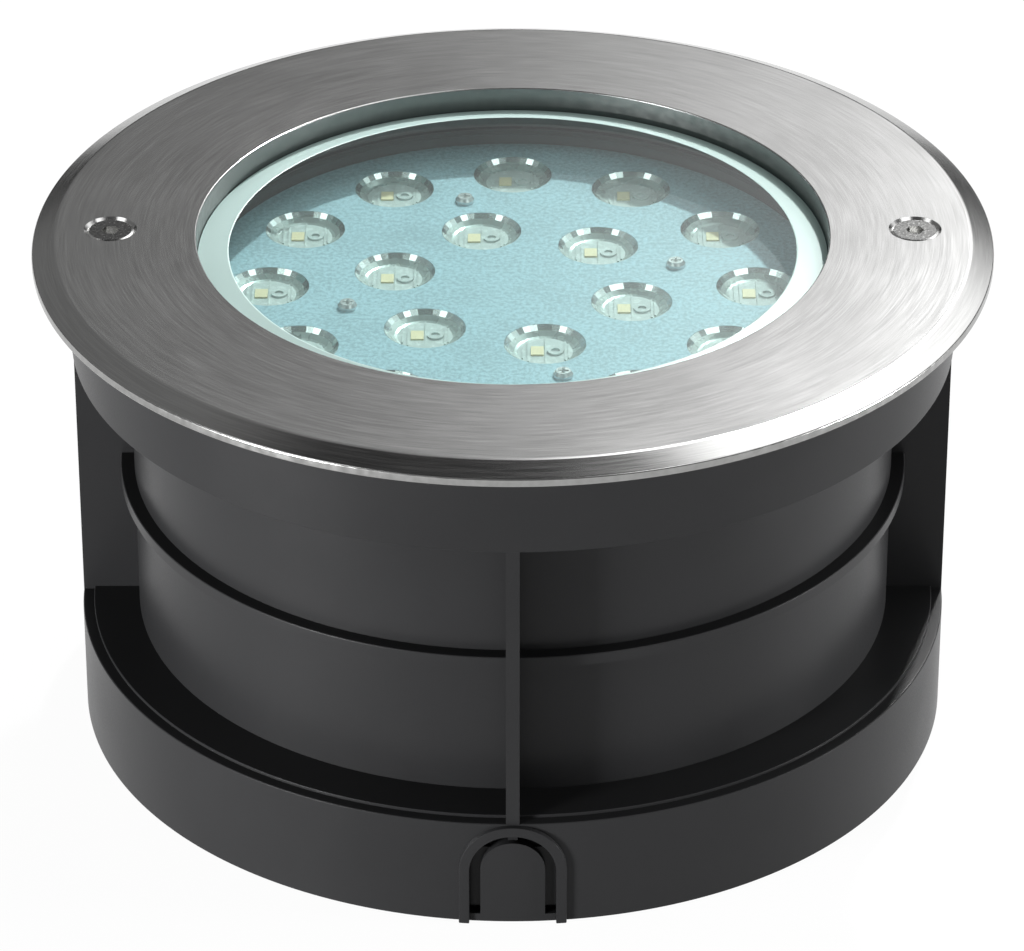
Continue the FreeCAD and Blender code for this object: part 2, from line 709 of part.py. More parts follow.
def glass_disc():
    body = new_body("GlassDisc")
    bevel_outside = size.window_radius - size.slip_gap
    turned(body, [
        (AXIS, glass_bottom),
        (glass_radius - size.edge_break, glass_bottom),
        (glass_radius, glass_bottom + size.edge_break),
        (glass_radius, glass_step),
        (bevel_outside, glass_step),
        (bevel_outside, glass_top - size.glass_bevel_drop),
        (size.glass_flat_radius, glass_top),
        (AXIS, glass_top),
    ])
    keep("glass_disc", body)


def glass_seal():
    body = new_body("GlassSeal")
    lip_inside = size.window_radius + size.slip_gap
    turned(body, [
        (cup_radius + size.slip_gap, glass_seat),
        (seal_outside, glass_seat),
        (seal_outside, skirt_bottom),
        (lip_inside, skirt_bottom),
        (lip_inside, glass_step),
        (seal_inside, glass_step),
        (seal_inside, glass_bottom),
        (cup_radius + size.slip_gap, glass_bottom),
    ])
    keep("glass_seal", body)


def bezel_fixings():
    """Studs welded under the bezel, with a washer and a nut under the lamp body's flange."""
    places = [on_circle(stud_circle, angle) for angle in spread(size.stud_count, ZERO)]
    washer_bottom = flange_underside - size.small_washer_thickness
    nut_bottom = washer_bottom - size.small_nut_thickness
    studs, washers, nuts = [], [], []
    for across, along in places:
        stud = new_body("Stud", (across, along, bezel_bottom - size.stud_reach))
        turned(stud, rod_outline(size.stud_radius, ZERO, size.stud_reach))
        studs.append(stud)
        washers.append(ring("StudWasher", size.stud_clearance_radius, size.small_washer_radius, ZERO,
                            size.small_washer_thickness, (across, along, washer_bottom)))
        nut = new_body("StudNut", (across, along, nut_bottom))
        sketch = new_sketch(nut, "StudNutSketch", "XY_Plane")
        hexagon(sketch, size.small_nut_flats)
        circle(sketch, size.stud_radius + size.running_gap)
        extruded(nut, sketch, size.small_nut_thickness)
        nuts.append(nut)
    group("bezel_studs", studs)
    group("bezel_washers", washers)
    group("bezel_nuts", nuts)


# ---------------------------------------------------------------------------------------------------
# Lamp body, cast in one with its cooling fins
# ---------------------------------------------------------------------------------------------------
standoff_tail = size.board_thickness + size.pad_thickness + size.floor_thickness / 2


def standoff_places():
    """The four cover plate screws stand in two pairs, each pair opposite."""
    places = []
    for circle_radius, angle in (
        (size.plate_screw_far_circle, size.plate_screw_far_angle),
        (size.plate_screw_near_circle, size.plate_screw_near_angle),
    ):
        for half_turn in (ZERO, FULL_TURN / 2):
            places.append(on_circle(circle_radius, angle + half_turn))
    return places


def driver_standoff_places():
    start = Size("45", 45)
    return [on_circle(size.driver_hole_circle, angle) for angle in spread(Size("4", 4), start)]


def lamp_body():
    body = new_body("LampBody")
    edge = size.edge_break
    turned(body, [
        (AXIS, floor_bottom),
        (chamber_radius, floor_bottom),
        (chamber_radius, lamp_bottom),
        (cover_radius, lamp_bottom),
        (cover_radius, lamp_bottom + size.lower_flange_depth - edge),
        (cover_radius - edge, lamp_bottom + size.lower_flange_depth),
        (cup_outside, lamp_bottom + size.lower_flange_depth),
        (cup_outside, flange_underside),
        (flange_radius - edge, flange_underside),
        (flange_radius, flange_underside + edge),
        (flange_radius, bezel_bottom),
        (recess_radius, bezel_bottom),
        (recess_radius, glass_seat),
        (cup_radius, glass_seat),
        (cup_radius, floor_top),
        (AXIS, floor_top),
    ])
    fin_low = lamp_bottom + size.lower_flange_depth - edge
    fin_length = flange_underside + edge - fin_low
    half = size.fin_thickness / 2
    sketch = new_sketch(body, "FinSketch", "XY_Plane", fin_low)
    slot_angle = FULL_TURN / size.fin_count / 2
    fin_inside = cup_outside - size.lamp_wall / 2
    fin_outside = cup_outside + size.fin_reach
    corners = []
    for radius, side in ((fin_inside, -half), (fin_outside, -half), (fin_outside, half), (fin_inside, half)):
        across, along = on_circle(radius, slot_angle)
        corners.append((across - side * sine(slot_angle), along + side * cosine(slot_angle)))
    polygon(sketch, corners)
    fin = extruded(body, sketch, fin_length, "CoolingFin")
    repeated(body, [fin], size.fin_count, "CoolingFins")

    stud_hole = drilled(body, bezel_bottom, size.flange_depth, size.stud_clearance_radius, stud_circle,
                        name="StudHole")
    repeated(body, [stud_hole], size.stud_count, "StudHoles")
    cover_hole = drilled(body, lamp_bottom + size.cover_screw_grip + size.edge_break,
                         size.cover_screw_grip + size.edge_break,
                         size.cover_screw_radius + size.running_gap, cover_screw_circle, name="CoverHole")
    repeated(body, [cover_hole], size.cover_screw_count, "CoverHoles")
    drilled(body, floor_top, size.floor_thickness, size.lead_passage_radius, name="LeadPassage")

    across, along = on_circle(board_screw_circle, size.board_screw_angle)
    screw_depth = size.board_screw_length - size.board_thickness - size.pad_thickness + edge
    board_hole = drilled(body, floor_top, screw_depth, size.board_screw_radius + size.running_gap,
                         across, along, "BoardHole")
    repeated(body, [board_hole], size.board_screw_count, "BoardHoles")
    for across, along in standoff_places():
        drilled(body, floor_top, size.floor_thickness / 2 + edge,
                size.plate_screw_radius + size.running_gap, across, along, "StandoffHole")
    driver_tail = size.floor_thickness / 2
    for across, along in driver_standoff_places():
        drilled(body, floor_bottom + driver_tail, driver_tail, size.board_screw_radius + size.running_gap,
                across, along, "DriverHole")
    keep("lamp_body", body)


# ---------------------------------------------------------------------------------------------------
# Optics: cover plate, lenses, holders, emitters, LED board
# ---------------------------------------------------------------------------------------------------
def lens_places():
    """Node name and place of every lens."""
    places = []
    for index, angle in enumerate(spread(size.outer_lens_count, ZERO), start=1):
        places.append(("lens_outer_{:02d}".format(index), on_circle(size.outer_lens_circle, angle)))
    for index, angle in enumerate(spread(size.inner_lens_count, size.inner_lens_start), start=1):
        places.append(("lens_inner_{:02d}".format(index), on_circle(size.inner_lens_circle, angle)))
    return places


def lens_plate():
    body = new_body("LensPlate")
    edge = size.edge_break
    turned(body, [(AXIS, plate_bottom), (plate_radius, plate_bottom), (plate_radius, plate_top - edge),
                  (plate_radius - edge, plate_top), (AXIS, plate_top)])
    outer = drilled(body, plate_top, size.plate_thickness, size.lens_hole_radius, size.outer_lens_circle,
                    name="OuterLensHole")
    repeated(body, [outer], size.outer_lens_count, "OuterLensHoles")
    across, along = on_circle(size.inner_lens_circle, size.inner_lens_start)
    inner = drilled(body, plate_top, size.plate_thickness, size.lens_hole_radius, across, along,
                    "InnerLensHole")
    repeated(body, [inner], size.inner_lens_count, "InnerLensHoles")
    for across, along in standoff_places():
        drilled(body, plate_top, size.plate_thickness, size.plate_screw_radius + size.slip_gap,
                across, along, "PlateScrewHole")
    keep("lens_plate", body)


def cross_outline():
    """Cross recess seen from above."""
    arm = size.cross_length / 2
    half = size.cross_width / 2
    return [(arm, -half), (arm, half), (half, half), (half, arm), (-half, arm), (-half, half),
            (-arm, half), (-arm, -half), (-half, -half), (-half, -arm), (half, -arm), (half, -half)]


def pan_screw(name, place, shank, length, head, head_height, flip=False):
    """Pan head screw. The underside of its head is at the given place, and flip turns the head down."""
    body = new_body(name, place)
    shoulder = head_height / 2
    sign = (lambda amount: -amount) if flip else (lambda amount: amount)
    turned(body, [(AXIS, sign(-length)), (shank, sign(-length)), (shank, ZERO), (head, ZERO),
                  (head, sign(shoulder)), (head * 3 / 4, sign(head_height)), (AXIS, sign(head_height))])
    if not flip:
        sketch = new_sketch(body, name + "CrossSketch", "XY_Plane", head_height)
        polygon(sketch, cross_outline())
        extruded(body, sketch, size.cross_depth, name + "Cross", "PartDesign::Pocket")
    return body


def plate_fixings():
    screws, standoffs = [], []
    for across, along in standoff_places():
        screws.append(pan_screw("PlateScrew", (across, along, plate_top), size.plate_screw_radius,
                                size.plate_screw_length, size.plate_screw_head_radius,
                                size.plate_screw_head_height))
        standoff = new_body("Standoff", (across, along, board_top))
        sketch = new_sketch(standoff, "StandoffSketch", "XY_Plane")
        hexagon(sketch, size.standoff_flats)
        extruded(standoff, sketch, size.standoff_height, "StandoffHex")
        tail = new_sketch(standoff, "StandoffTailSketch", "XY_Plane", -standoff_tail)
        circle(tail, size.plate_screw_radius)
        extruded(standoff, tail, standoff_tail, "StandoffTail")
        screw_depth = size.plate_screw_length - size.plate_thickness + size.edge_break
        drilled(standoff, size.standoff_height, screw_depth, size.plate_screw_radius + size.running_gap,
                name="StandoffHole")
        standoffs.append(standoff)
    group("plate_screws", screws)
    group("plate_standoffs", standoffs)


def lenses():
    face = lens_face - board_top
    rim_low = face - size.lens_rim
    for node, (across, along) in lens_places():
        body = new_body("Lens", (across, along, board_top))
        turned(body, [
            (size.lens_pocket_radius, ZERO),
            (size.lens_foot_radius, ZERO),
            (size.lens_foot_radius, size.lens_foot_height),
            (lens_radius - size.lens_rim_step, rim_low),
            (lens_radius, rim_low),
            (lens_radius, face),
            (AXIS, face),
            (AXIS, size.lens_pocket_height),
            (size.lens_pocket_radius, size.lens_pocket_height),
        ])
        keep(node, body)


def lens_holders():
    inside = size.lens_foot_radius + size.running_gap
    group("lens_holders", [
        ring("LensHolder", inside, inside + size.holder_wall, ZERO, size.lens_foot_height,
             (across, along, board_top))
        for node, (across, along) in lens_places()
    ])


def led_emitters():
    emitters = []
    dome_top = size.emitter_height + size.emitter_dome_radius * 3 / 4
    half = size.emitter_side / 2
    for node, (across, along) in lens_places():
        body = new_body("Emitter", (across, along, board_top))
        sketch = new_sketch(body, "PackageSketch", "XY_Plane")
        rectangle(sketch, -half, -half, half, half)
        extruded(body, sketch, size.emitter_height, "Package")
        turned(body, [
            (AXIS, size.emitter_height / 2),
            (size.emitter_dome_radius, size.emitter_height / 2),
            (size.emitter_dome_radius, size.emitter_height),
            (size.emitter_dome_radius / 2, dome_top),
            (AXIS, dome_top),
        ], "Dome")
        emitters.append(body)
    group("led_emitters", emitters)


def led_board():
    body = ring("LedBoard", size.lead_passage_radius, board_radius, board_bottom, board_top)
    across, along = on_circle(board_screw_circle, size.board_screw_angle)
    hole = drilled(body, board_top, size.board_thickness, size.board_screw_radius + size.slip_gap,
                   across, along, "BoardScrewHole")
    repeated(body, [hole], size.board_screw_count, "BoardScrewHoles")
    for across, along in standoff_places():
        drilled(body, board_top, size.board_thickness, size.plate_screw_radius + size.slip_gap,
                across, along, "TailHole")
    keep("led_board", body)

    pad = ring("ThermalPad", size.lead_passage_radius, board_radius - size.pad_margin, floor_top,
               board_bottom)
    across, along = on_circle(board_screw_circle, size.board_screw_angle)
    hole = drilled(pad, board_bottom, size.pad_thickness, size.board_screw_radius + size.slip_gap,
                   across, along, "PadScrewHole")
    repeated(pad, [hole], size.board_screw_count, "PadScrewHoles")
    for across, along in standoff_places():
        drilled(pad, board_bottom, size.pad_thickness, size.plate_screw_radius + size.slip_gap,
                across, along, "PadTailHole")
    keep("thermal_pad", pad)

    group("board_screws", [
        pan_screw("BoardScrew", (*on_circle(board_screw_circle, angle), board_top),
                  size.board_screw_radius, size.board_screw_length, size.board_screw_head_radius,
                  size.board_screw_head_height)
        for angle in spread(size.board_screw_count, size.board_screw_angle)
    ])


# ---------------------------------------------------------------------------------------------------
# Wiring and driver
# ---------------------------------------------------------------------------------------------------
def led_wiring():
    keep("board_connector", block("BoardConnector", ZERO, ZERO, board_top, size.connector_length,
                                  size.connector_width, size.connector_height))
    length = board_top - driver_board_top
    half = size.lead_spacing / 2
    leads = []
    for side in (half, -half):
        lead = new_body("Lead", (side, ZERO, driver_board_top))
        turned(lead, rod_outline(size.lead_radius, ZERO, length))
        leads.append(lead)
    group("led_leads", leads)

    grommet = new_body("Grommet")
    tube = size.lead_passage_radius - size.running_gap
    flange = size.lead_passage_radius + size.grommet_lip
    turned(grommet, [
        (AXIS, floor_bottom - size.grommet_lip),
        (flange, floor_bottom - size.grommet_lip),
        (flange, floor_bottom),
        (tube, floor_bottom),
        (tube, floor_top),
        (AXIS, floor_top),
    ])
    for side in (half, -half):
        drilled(grommet, floor_top, size.floor_thickness + size.grommet_lip,
                size.lead_radius + size.running_gap, side, AXIS, "LeadHole")
    keep("lead_grommet", grommet)


def driver():
    board = new_body("DriverBoard")
    turned(board, rod_outline(size.driver_board_radius, driver_board_bottom, driver_board_top))
    screws, standoffs = [], []
    tail = size.floor_thickness / 2 - size.edge_break
    grip = size.driver_standoff_height / 2
    for across, along in driver_standoff_places():
        drilled(board, driver_board_top, size.driver_board_thickness,
                size.board_screw_radius + size.slip_gap, across, along, "DriverScrewHole")
        standoff = new_body("DriverStandoff", (across, along, driver_board_top))
        sketch = new_sketch(standoff, "DriverStandoffSketch", "XY_Plane")
        hexagon(sketch, size.driver_standoff_flats)
        extruded(standoff, sketch, size.driver_standoff_height, "DriverStandoffHex")
        stem = new_sketch(standoff, "DriverStandoffTail", "XY_Plane", size.driver_standoff_height)
        circle(stem, size.board_screw_radius)
        extruded(standoff, stem, tail, "DriverStandoffStem")
        drilled(standoff, grip + size.edge_break, grip + size.edge_break,
                size.board_screw_radius + size.running_gap, name="DriverStandoffHole")
        standoffs.append(standoff)
        screws.append(pan_screw("DriverScrew", (across, along, driver_board_bottom),
                                size.board_screw_radius, grip + size.driver_board_thickness,
                                size.board_screw_head_radius, size.board_screw_head_height, flip=True))
    keep("driver_board", board)
    group("driver_standoffs", standoffs)
    group("driver_screws", screws)

    core_low = driver_board_bottom - size.transformer_height
    core = block("TransformerCore", size.transformer_place, ZERO, core_low, size.transformer_length,
                 size.transformer_width, size.transformer_height)
    winding_height = size.transformer_height - 2 * size.edge_break
    winding = block("TransformerWinding", size.transformer_place, ZERO, core_low + size.edge_break,
                    2 * size.winding_radius, size.winding_length, winding_height)
    keep("driver_transformer", combined("Part::MultiFuse", "Transformer", [core, winding]))

    capacitors = []
    for side in (size.capacitor_spacing / 2, -size.capacitor_spacing / 2):
        can = new_body("Capacitor", (-size.capacitor_place, side, driver_board_bottom - size.capacitor_height))
        edge = size.edge_break
        turned(can, [(AXIS, ZERO), (size.capacitor_radius - edge, ZERO), (size.capacitor_radius, edge),
                     (size.capacitor_radius, size.capacitor_height), (AXIS, size.capacitor_height)])
        capacitors.append(can)
    group("driver_capacitors", capacitors)

    choke_height = driver_board_bottom - size.choke_wire_radius
    keep("driver_choke", primitive("Part::Torus", "Choke", (ZERO, size.choke_place, choke_height),
                                   Radius1=size.choke_radius, Radius2=size.choke_wire_radius))

    terminal = new_body("TerminalBlock", (ZERO, -size.terminal_place,
                                          driver_board_bottom - size.terminal_height))
    sketch = new_sketch(terminal, "TerminalSketch", "XY_Plane")
    half_length = size.terminal_length / 2
    half_width = size.terminal_width / 2
    rectangle(sketch, -half_length, -half_width, half_length, half_width)
    extruded(terminal, sketch, size.terminal_height, "TerminalCase")
    for side in (-size.terminal_length / 3, AXIS, size.terminal_length / 3):
        drilled(terminal, size.terminal_height / 2, size.terminal_height / 2, size.terminal_hole_radius,
                side, AXIS, "WireEntry")
    keep("terminal_block", terminal)


# ---------------------------------------------------------------------------------------------------
# Rear cover and cable gland
# ---------------------------------------------------------------------------------------------------
def rear_cover():
    body = new_body("RearCover")
    edge = size.edge_break
    turned(body, [
        (gland_hole, cover_bottom),
        (cover_radius - edge, cover_bottom),
        (cover_radius, cover_bottom + edge),
        (cover_radius, cover_top),
        (gland_hole, cover_top),
    ])
    hole = drilled(body, cover_top, size.cover_thickness, cover_screw_hole, cover_screw_circle,
                   name="CoverScrewHole")
    repeated(body, [hole], size.cover_screw_count, "CoverScrewHoles")
    keep("rear_cover", body)
    seal_inner = chamber_radius + size.edge_break
    seal_outer = cover_screw_circle - cover_screw_hole - size.edge_break
    keep("rear_seal", ring("RearSeal", seal_inner, seal_outer, cover_top, lamp_bottom))
    length = size.cover_thickness + size.cover_seal_thickness + size.cover_screw_grip
    group("rear_cover_screws", [
        pan_screw("CoverScrew", (*on_circle(cover_screw_circle, angle), cover_bottom),
                  size.cover_screw_radius, length, size.cover_screw_head_radius,
                  size.cover_screw_head_height, flip=True)
        for angle in spread(size.cover_screw_count, ZERO)
    ])


def cable_gland():
    thread_top = cover_top + size.gland_locknut + size.gland_tail
    neck_bottom = gland_flange_bottom - size.gland_neck_length
    bore = size.cable_radius + size.holder_wall
    seat = size.gland_seal_radius + size.running_gap

    body = new_body("GlandBody")
    sketch = new_sketch(body, "GlandHexSketch", "XY_Plane", gland_flange_bottom)
    hexagon(sketch, size.gland_flats, 0)
    extruded(body, sketch, size.gland_flange, "GlandHex")
    turned(body, rod_outline(size.gland_thread_radius, gland_flange_bottom, thread_top), "Thread")
    turned(body, rod_outline(size.gland_neck_radius, neck_bottom, gland_flange_bottom), "Neck")
    drilled(body, thread_top, thread_top - neck_bottom, bore, name="GlandBore")
    drilled(body, gland_flange_bottom, size.gland_neck_length, seat, name="SealSeat")
    keep("gland_body", body)

    keep("gland_washer", ring("GlandWasher", gland_hole, gland_hole + size.gland_washer_width,
                              gland_flange_top, cover_bottom))

    nut = new_body("GlandLocknut")
    sketch = new_sketch(nut, "LocknutSketch", "XY_Plane", cover_top)
    hexagon(sketch, size.gland_flats, 0)
    circle(sketch, size.gland_thread_radius + size.running_gap)
    extruded(nut, sketch, size.gland_locknut)
    keep("gland_locknut", nut)

    seal_top = gland_flange_bottom
    seal_bottom = seal_top - size.gland_seal_length
    keep("gland_seal", ring("GlandSeal", size.cable_radius, size.gland_seal_radius, seal_bottom, seal_top))

    dome_top = gland_flange_bottom - size.edge_break
    dome_bottom = dome_top - size.dome_length
    dome = new_body("DomeNut")
    sketch = new_sketch(dome, "DomeHexSketch", "XY_Plane", dome_bottom + size.dome_crown)
    hexagon(sketch, size.gland_flats, 0)
    extruded(dome, sketch, size.dome_length - size.dome_crown, "DomeHex")
    widest = size.gland_flats / 2
    turned(dome, [(AXIS, dome_bottom), (widest * 4 / 5, dome_bottom), (widest, dome_bottom + size.dome_crown),
                  (AXIS, dome_bottom + size.dome_crown)], "Crown")
    drilled(dome, dome_top, size.dome_length, size.dome_mouth_radius, name="Mouth")
    clear = size.gland_neck_radius + size.running_gap
    drilled(dome, dome_top, dome_top - seal_bottom + size.edge_break, clear, name="DomeThread")
    keep("gland_dome_nut", dome)


# ---------------------------------------------------------------------------------------------------
# Lock screws and their washers, one of each at the left and at the right
# ---------------------------------------------------------------------------------------------------
def lock_screw(node, washer_node, side):
    low = head_top - size.lock_screw_length
    place = (side, ZERO, low)
    head = size.lock_screw_length
    cone_top = head - size.lock_screw_land
    body = new_body("LockScrew", place)
    tip = size.edge_break
    turned(body, [
        (AXIS, ZERO),
        (size.lock_screw_radius - tip, ZERO),
        (size.lock_screw_radius, tip),
        (size.lock_screw_radius, cone_top - head_cone_height),
        (size.lock_screw_head_radius, cone_top),
        (size.lock_screw_head_radius, head),
        (AXIS, head),
    ])
    sketch = new_sketch(body, "SocketSketch", "XY_Plane", head)
    hexagon(sketch, size.lock_screw_socket)
    extruded(body, sketch, size.lock_screw_socket_depth, "Socket", "PartDesign::Pocket")
    keep(node, body)
    keep(washer_node, ring("LockWasher", washer_inside, size.lock_washer_radius, ZERO,
                           size.lock_washer_thickness, (side, ZERO, washer_low)))


# ---------------------------------------------------------------------------------------------------
# Build, check and write
# ---------------------------------------------------------------------------------------------------
mounting_sleeve()
thread_inserts()
bezel_ring()
glass_disc()
glass_seal()
bezel_fixings()
lamp_body()
lens_plate()
plate_fixings()
lenses()
lens_holders()
led_emitters()
led_board()
led_wiring()
driver()
rear_cover()
cable_gland()
lock_screw("lock_screw_right", "screw_washer_right", insert_circle)
lock_screw("lock_screw_left", "screw_washer_left", -insert_circle)
doc.recompute()

faults = [item.Name for item in doc.Objects if "Invalid" in item.State or "Error" in item.State]
for node, thing in pieces:
    if thing.Shape.isNull() or not thing.Shape.isValid() or not thing.Shape.Solids:
        faults.append(node)
if faults:
    raise RuntimeError("These objects failed: " + ", ".join(faults))

os.makedirs("parts", exist_ok=True)
for node, thing in pieces:
    thing.Shape.exportStep("parts/{}.step".format(node))
print("{} nodes, {} solids".format(len(pieces), sum(len(thing.Shape.Solids) for node, thing in pieces)))
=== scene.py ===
import json
import math
from collections import namedtuple
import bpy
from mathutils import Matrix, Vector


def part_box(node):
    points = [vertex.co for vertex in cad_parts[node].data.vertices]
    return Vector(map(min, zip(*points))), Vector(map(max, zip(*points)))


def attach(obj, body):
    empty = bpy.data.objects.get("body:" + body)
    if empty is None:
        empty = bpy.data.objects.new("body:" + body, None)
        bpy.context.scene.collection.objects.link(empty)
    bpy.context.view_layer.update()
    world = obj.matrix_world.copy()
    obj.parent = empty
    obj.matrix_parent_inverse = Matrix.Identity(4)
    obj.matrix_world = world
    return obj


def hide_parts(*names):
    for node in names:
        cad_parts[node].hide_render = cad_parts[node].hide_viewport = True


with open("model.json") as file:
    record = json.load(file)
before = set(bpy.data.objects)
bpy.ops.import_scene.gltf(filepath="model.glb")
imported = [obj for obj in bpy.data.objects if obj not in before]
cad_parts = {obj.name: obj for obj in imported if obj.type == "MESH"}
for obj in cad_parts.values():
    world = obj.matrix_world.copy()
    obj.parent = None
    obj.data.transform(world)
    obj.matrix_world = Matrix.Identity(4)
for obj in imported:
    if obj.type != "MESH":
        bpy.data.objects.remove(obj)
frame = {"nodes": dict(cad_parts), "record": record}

from types import SimpleNamespace

import bmesh
import bpy
from bpy.props import FloatProperty, FloatVectorProperty, IntProperty, PointerProperty
from mathutils import Matrix, Vector

bl_info = {
    "name": "In Ground Well Light",
    "version": (1, 0, 0),
    "blender": (4, 5, 0),
    "location": "View3D > Sidebar > Well Light",
    "description": "Dresses the well light's solids with finished pieces and materials",
    "category": "Object",
}

MM = 0.001
FULL_TURN = 2 * math.pi
NODES = frame["nodes"]
LENS_NODES = sorted(name for name in NODES if name.startswith(("lens_outer", "lens_inner")))
SCREW_SIDES = {"right": 1, "left": -1}
SMALL_STEPS = 64


def node_box(node):
    """Lowest and highest corner of a solid, in millimetres."""
    low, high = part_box(node)
    return low / MM, high / MM



# ---------------------------------------------------------------------------------------------------
# What a user may change
# ---------------------------------------------------------------------------------------------------
def colour(name, description, default):
    return FloatVectorProperty(name=name, description=description, default=default, subtype="COLOR",
                               size=3, min=0, max=1)


def length(name, description, millimetres):
    return FloatProperty(name=name, description=description, default=millimetres * MM, min=0, precision=5,
                         unit="LENGTH")


class WellLightSizes(bpy.types.PropertyGroup):
    """Sizes of the finished pieces."""

    bezel_radius: length("Bezel radius", "Outside of the bezel", 120.0)
    bezel_thickness: length("Bezel thickness", "Bezel plate", 4.5)
    chamfer_width: length("Chamfer width", "Sloping rim of the bezel, measured across", 5.6)
    chamfer_drop: length("Chamfer drop", "Sloping rim of the bezel, measured down", 2.4)
    window_radius: length("Window radius", "Opening of the bezel", 79.0)
    skirt_depth: length("Skirt depth", "Turned skirt under the bezel", 2.3)
    edge: length("Edge rounding", "Rounding of the bezel's edges", 0.35)
    pane_radius: length("Clear radius", "Clear part of the glass", 71.0)
    screw_circle: length("Screw place", "Centre of the bezel to a lock screw", 100.5)
    sleeve_radius: length("Sleeve radius", "Outside of the sleeve's collar and base ring", 111.0)
    collar_depth: length("Collar depth", "Upper collar of the sleeve", 23.0)
    segments: IntProperty(name="Segments", description="Faces round the large turned pieces",
                          default=288, min=32)


class WellLightColours(bpy.types.PropertyGroup):
    """Colours of the finished pieces."""

    steel: colour("Steel", "Brushed stainless steel", (0.49, 0.49, 0.485))
    plastic: colour("Plastic", "Moulded sleeve", (0.0085, 0.0086, 0.009))
    plate: colour("Cover plate", "Enamel round the lenses", (0.335, 0.51, 0.58))
    border: colour("Ground border", "Ground edge of the glass", (0.47, 0.62, 0.59))
    glass: colour("Glass tint", "Tint of the clear glass", (0.93, 0.985, 0.975))
    phosphor: colour("Phosphor", "Face of a light emitter", (0.90, 0.78, 0.48))


def sizes():
    """The user's sizes, with the lengths in millimetres."""
    group = bpy.context.scene.well_light_sizes
    names = [name for name in group.__annotations__ if name != "segments"]
    return SimpleNamespace(segments=group.segments,
                           **{name: round(getattr(group, name) / MM, 4) for name in names})


def colours():
    return bpy.context.scene.well_light_colours


# ---------------------------------------------------------------------------------------------------
# Shader sums
# ---------------------------------------------------------------------------------------------------
class Signal:
    """A node's output that can be used in sums."""

    def __init__(self, recipe, socket):
        self.recipe = recipe
        self.socket = socket

    def _sum(self, operation, other, swap=False):
        first, second = (other, self) if swap else (self, other)
        return self.recipe.node("ShaderNodeMath", {"operation": operation}, first, second)

    def __add__(self, other):
        return self._sum("ADD", other)

    __radd__ = __add__

    def __sub__(self, other):
        return self._sum("SUBTRACT", other)

    def __rsub__(self, other):
        return self._sum("SUBTRACT", other, True)

    def __mul__(self, other):
        return self._sum("MULTIPLY", other)

    __rmul__ = __mul__

    def __truediv__(self, other):
        return self._sum("DIVIDE", other)

    def __rtruediv__(self, other):
        return self._sum("DIVIDE", other, True)

    def __gt__(self, other):
        return self._sum("GREATER_THAN", other)


class Recipe:
    """Builds one material, or the world's light."""

    def __init__(self, name, owner=None):
        self.material = owner or bpy.data.materials.new(name)
        self.material.use_nodes = True
        self.tree = self.material.node_tree
        self.tree.nodes.clear()

    def node(self, kind, settings=None, *values, output=0, **named):
        """Adds a node. Its settings go first, then its sockets by order and by name."""
        made = self.tree.nodes.new(kind)
        for setting, value in (settings or {}).items():
            setattr(made, setting, value)
        for index, value in enumerate(values):
            self._feed(made.inputs[index], value)
        for title, value in named.items():
            self._feed(made.inputs[title.replace("_", " ")], value)
        return None if output is None else Signal(self, made.outputs[output])

    def _feed(self, socket, value):
        if isinstance(value, Signal):
            self.tree.links.new(value.socket, socket)
        else:
            socket.default_value = (*value, 1) if socket.type == "RGBA" and len(value) == 3 else value

    def place(self):
        """Object coordinates, in metres."""
        return self.node("ShaderNodeTexCoord", output="Object")

    def outputs(self, kind, titles, *values):
        """Several outputs of one node."""
        sockets = self.node(kind, None, *values).socket.node.outputs
        return [Signal(self, sockets[title]) for title in titles]

    def split(self, vector):
        """The three parts of a vector."""
        return self.outputs("ShaderNodeSeparateXYZ", "XYZ", vector)

    def join(self, across, along, up):
        return self.node("ShaderNodeCombineXYZ", None, across, along, up)

    def noise(self, vector, scale, detail=2.0, roughness=0.5):
        return self.node("ShaderNodeTexNoise", None, Vector=vector, Scale=scale, Detail=detail,
                         Roughness=roughness)

    def blend(self, factor, first, second):
        """Mixes two colours."""
        made = self.tree.nodes.new("ShaderNodeMix")
        made.data_type = "RGBA"
        for title, value in (("Factor_Float", factor), ("A_Color", first), ("B_Color", second)):
            self._feed(next(s for s in made.inputs if s.identifier == title), value)
        return Signal(self, next(s for s in made.outputs if s.identifier == "Result_Color"))

    def between(self, value, low, high, to_low=0.0, to_high=1.0):
        """Carries the range from low to high over to another one, with soft ends."""
        return self.node("ShaderNodeMapRange", {"interpolation_type": "SMOOTHSTEP"}, value, low, high,
                         to_low, to_high)

    def bump(self, height, distance, strength=1.0):
        return self.node("ShaderNodeBump", None, Height=height, Distance=distance, Strength=strength)

    def surface(self, **sockets):
        """Ends the recipe with a principled surface."""
        return self.finish(self.node("ShaderNodeBsdfPrincipled", None, **sockets))

    def finish(self, shader, kind="ShaderNodeOutputMaterial"):
        self.node(kind, None, shader, output=None)
        return self.material


def tinted(shade, factor):
    """A lighter or darker version of a colour."""
    return tuple(min(part * factor, 1) for part in shade)


MADE = {}


def finish(name):
    """The material of that name, made once."""
    if name not in MADE:
        MADE[name] = FINISHES[name](Recipe(name))
    return MADE[name]


def from_axis(recipe):
    """Distance from the upright axis, the direction away from it, and the height."""
    across, along, up = recipe.split(recipe.place())
    radius = recipe.node("ShaderNodeMath", {"operation": "SQRT"}, across * across + along * along)
    return radius, across / radius, along / radius, up


def turned_streaks(recipe, fineness, run):
    """Brush marks that follow circles round the axis."""
    radius, direction_x, direction_y, up = from_axis(recipe)
    vector = recipe.join((radius + up * 0.7) * fineness, direction_x * run, direction_y * run)
    return recipe.noise(vector, 1.0, 3.0, 0.6)


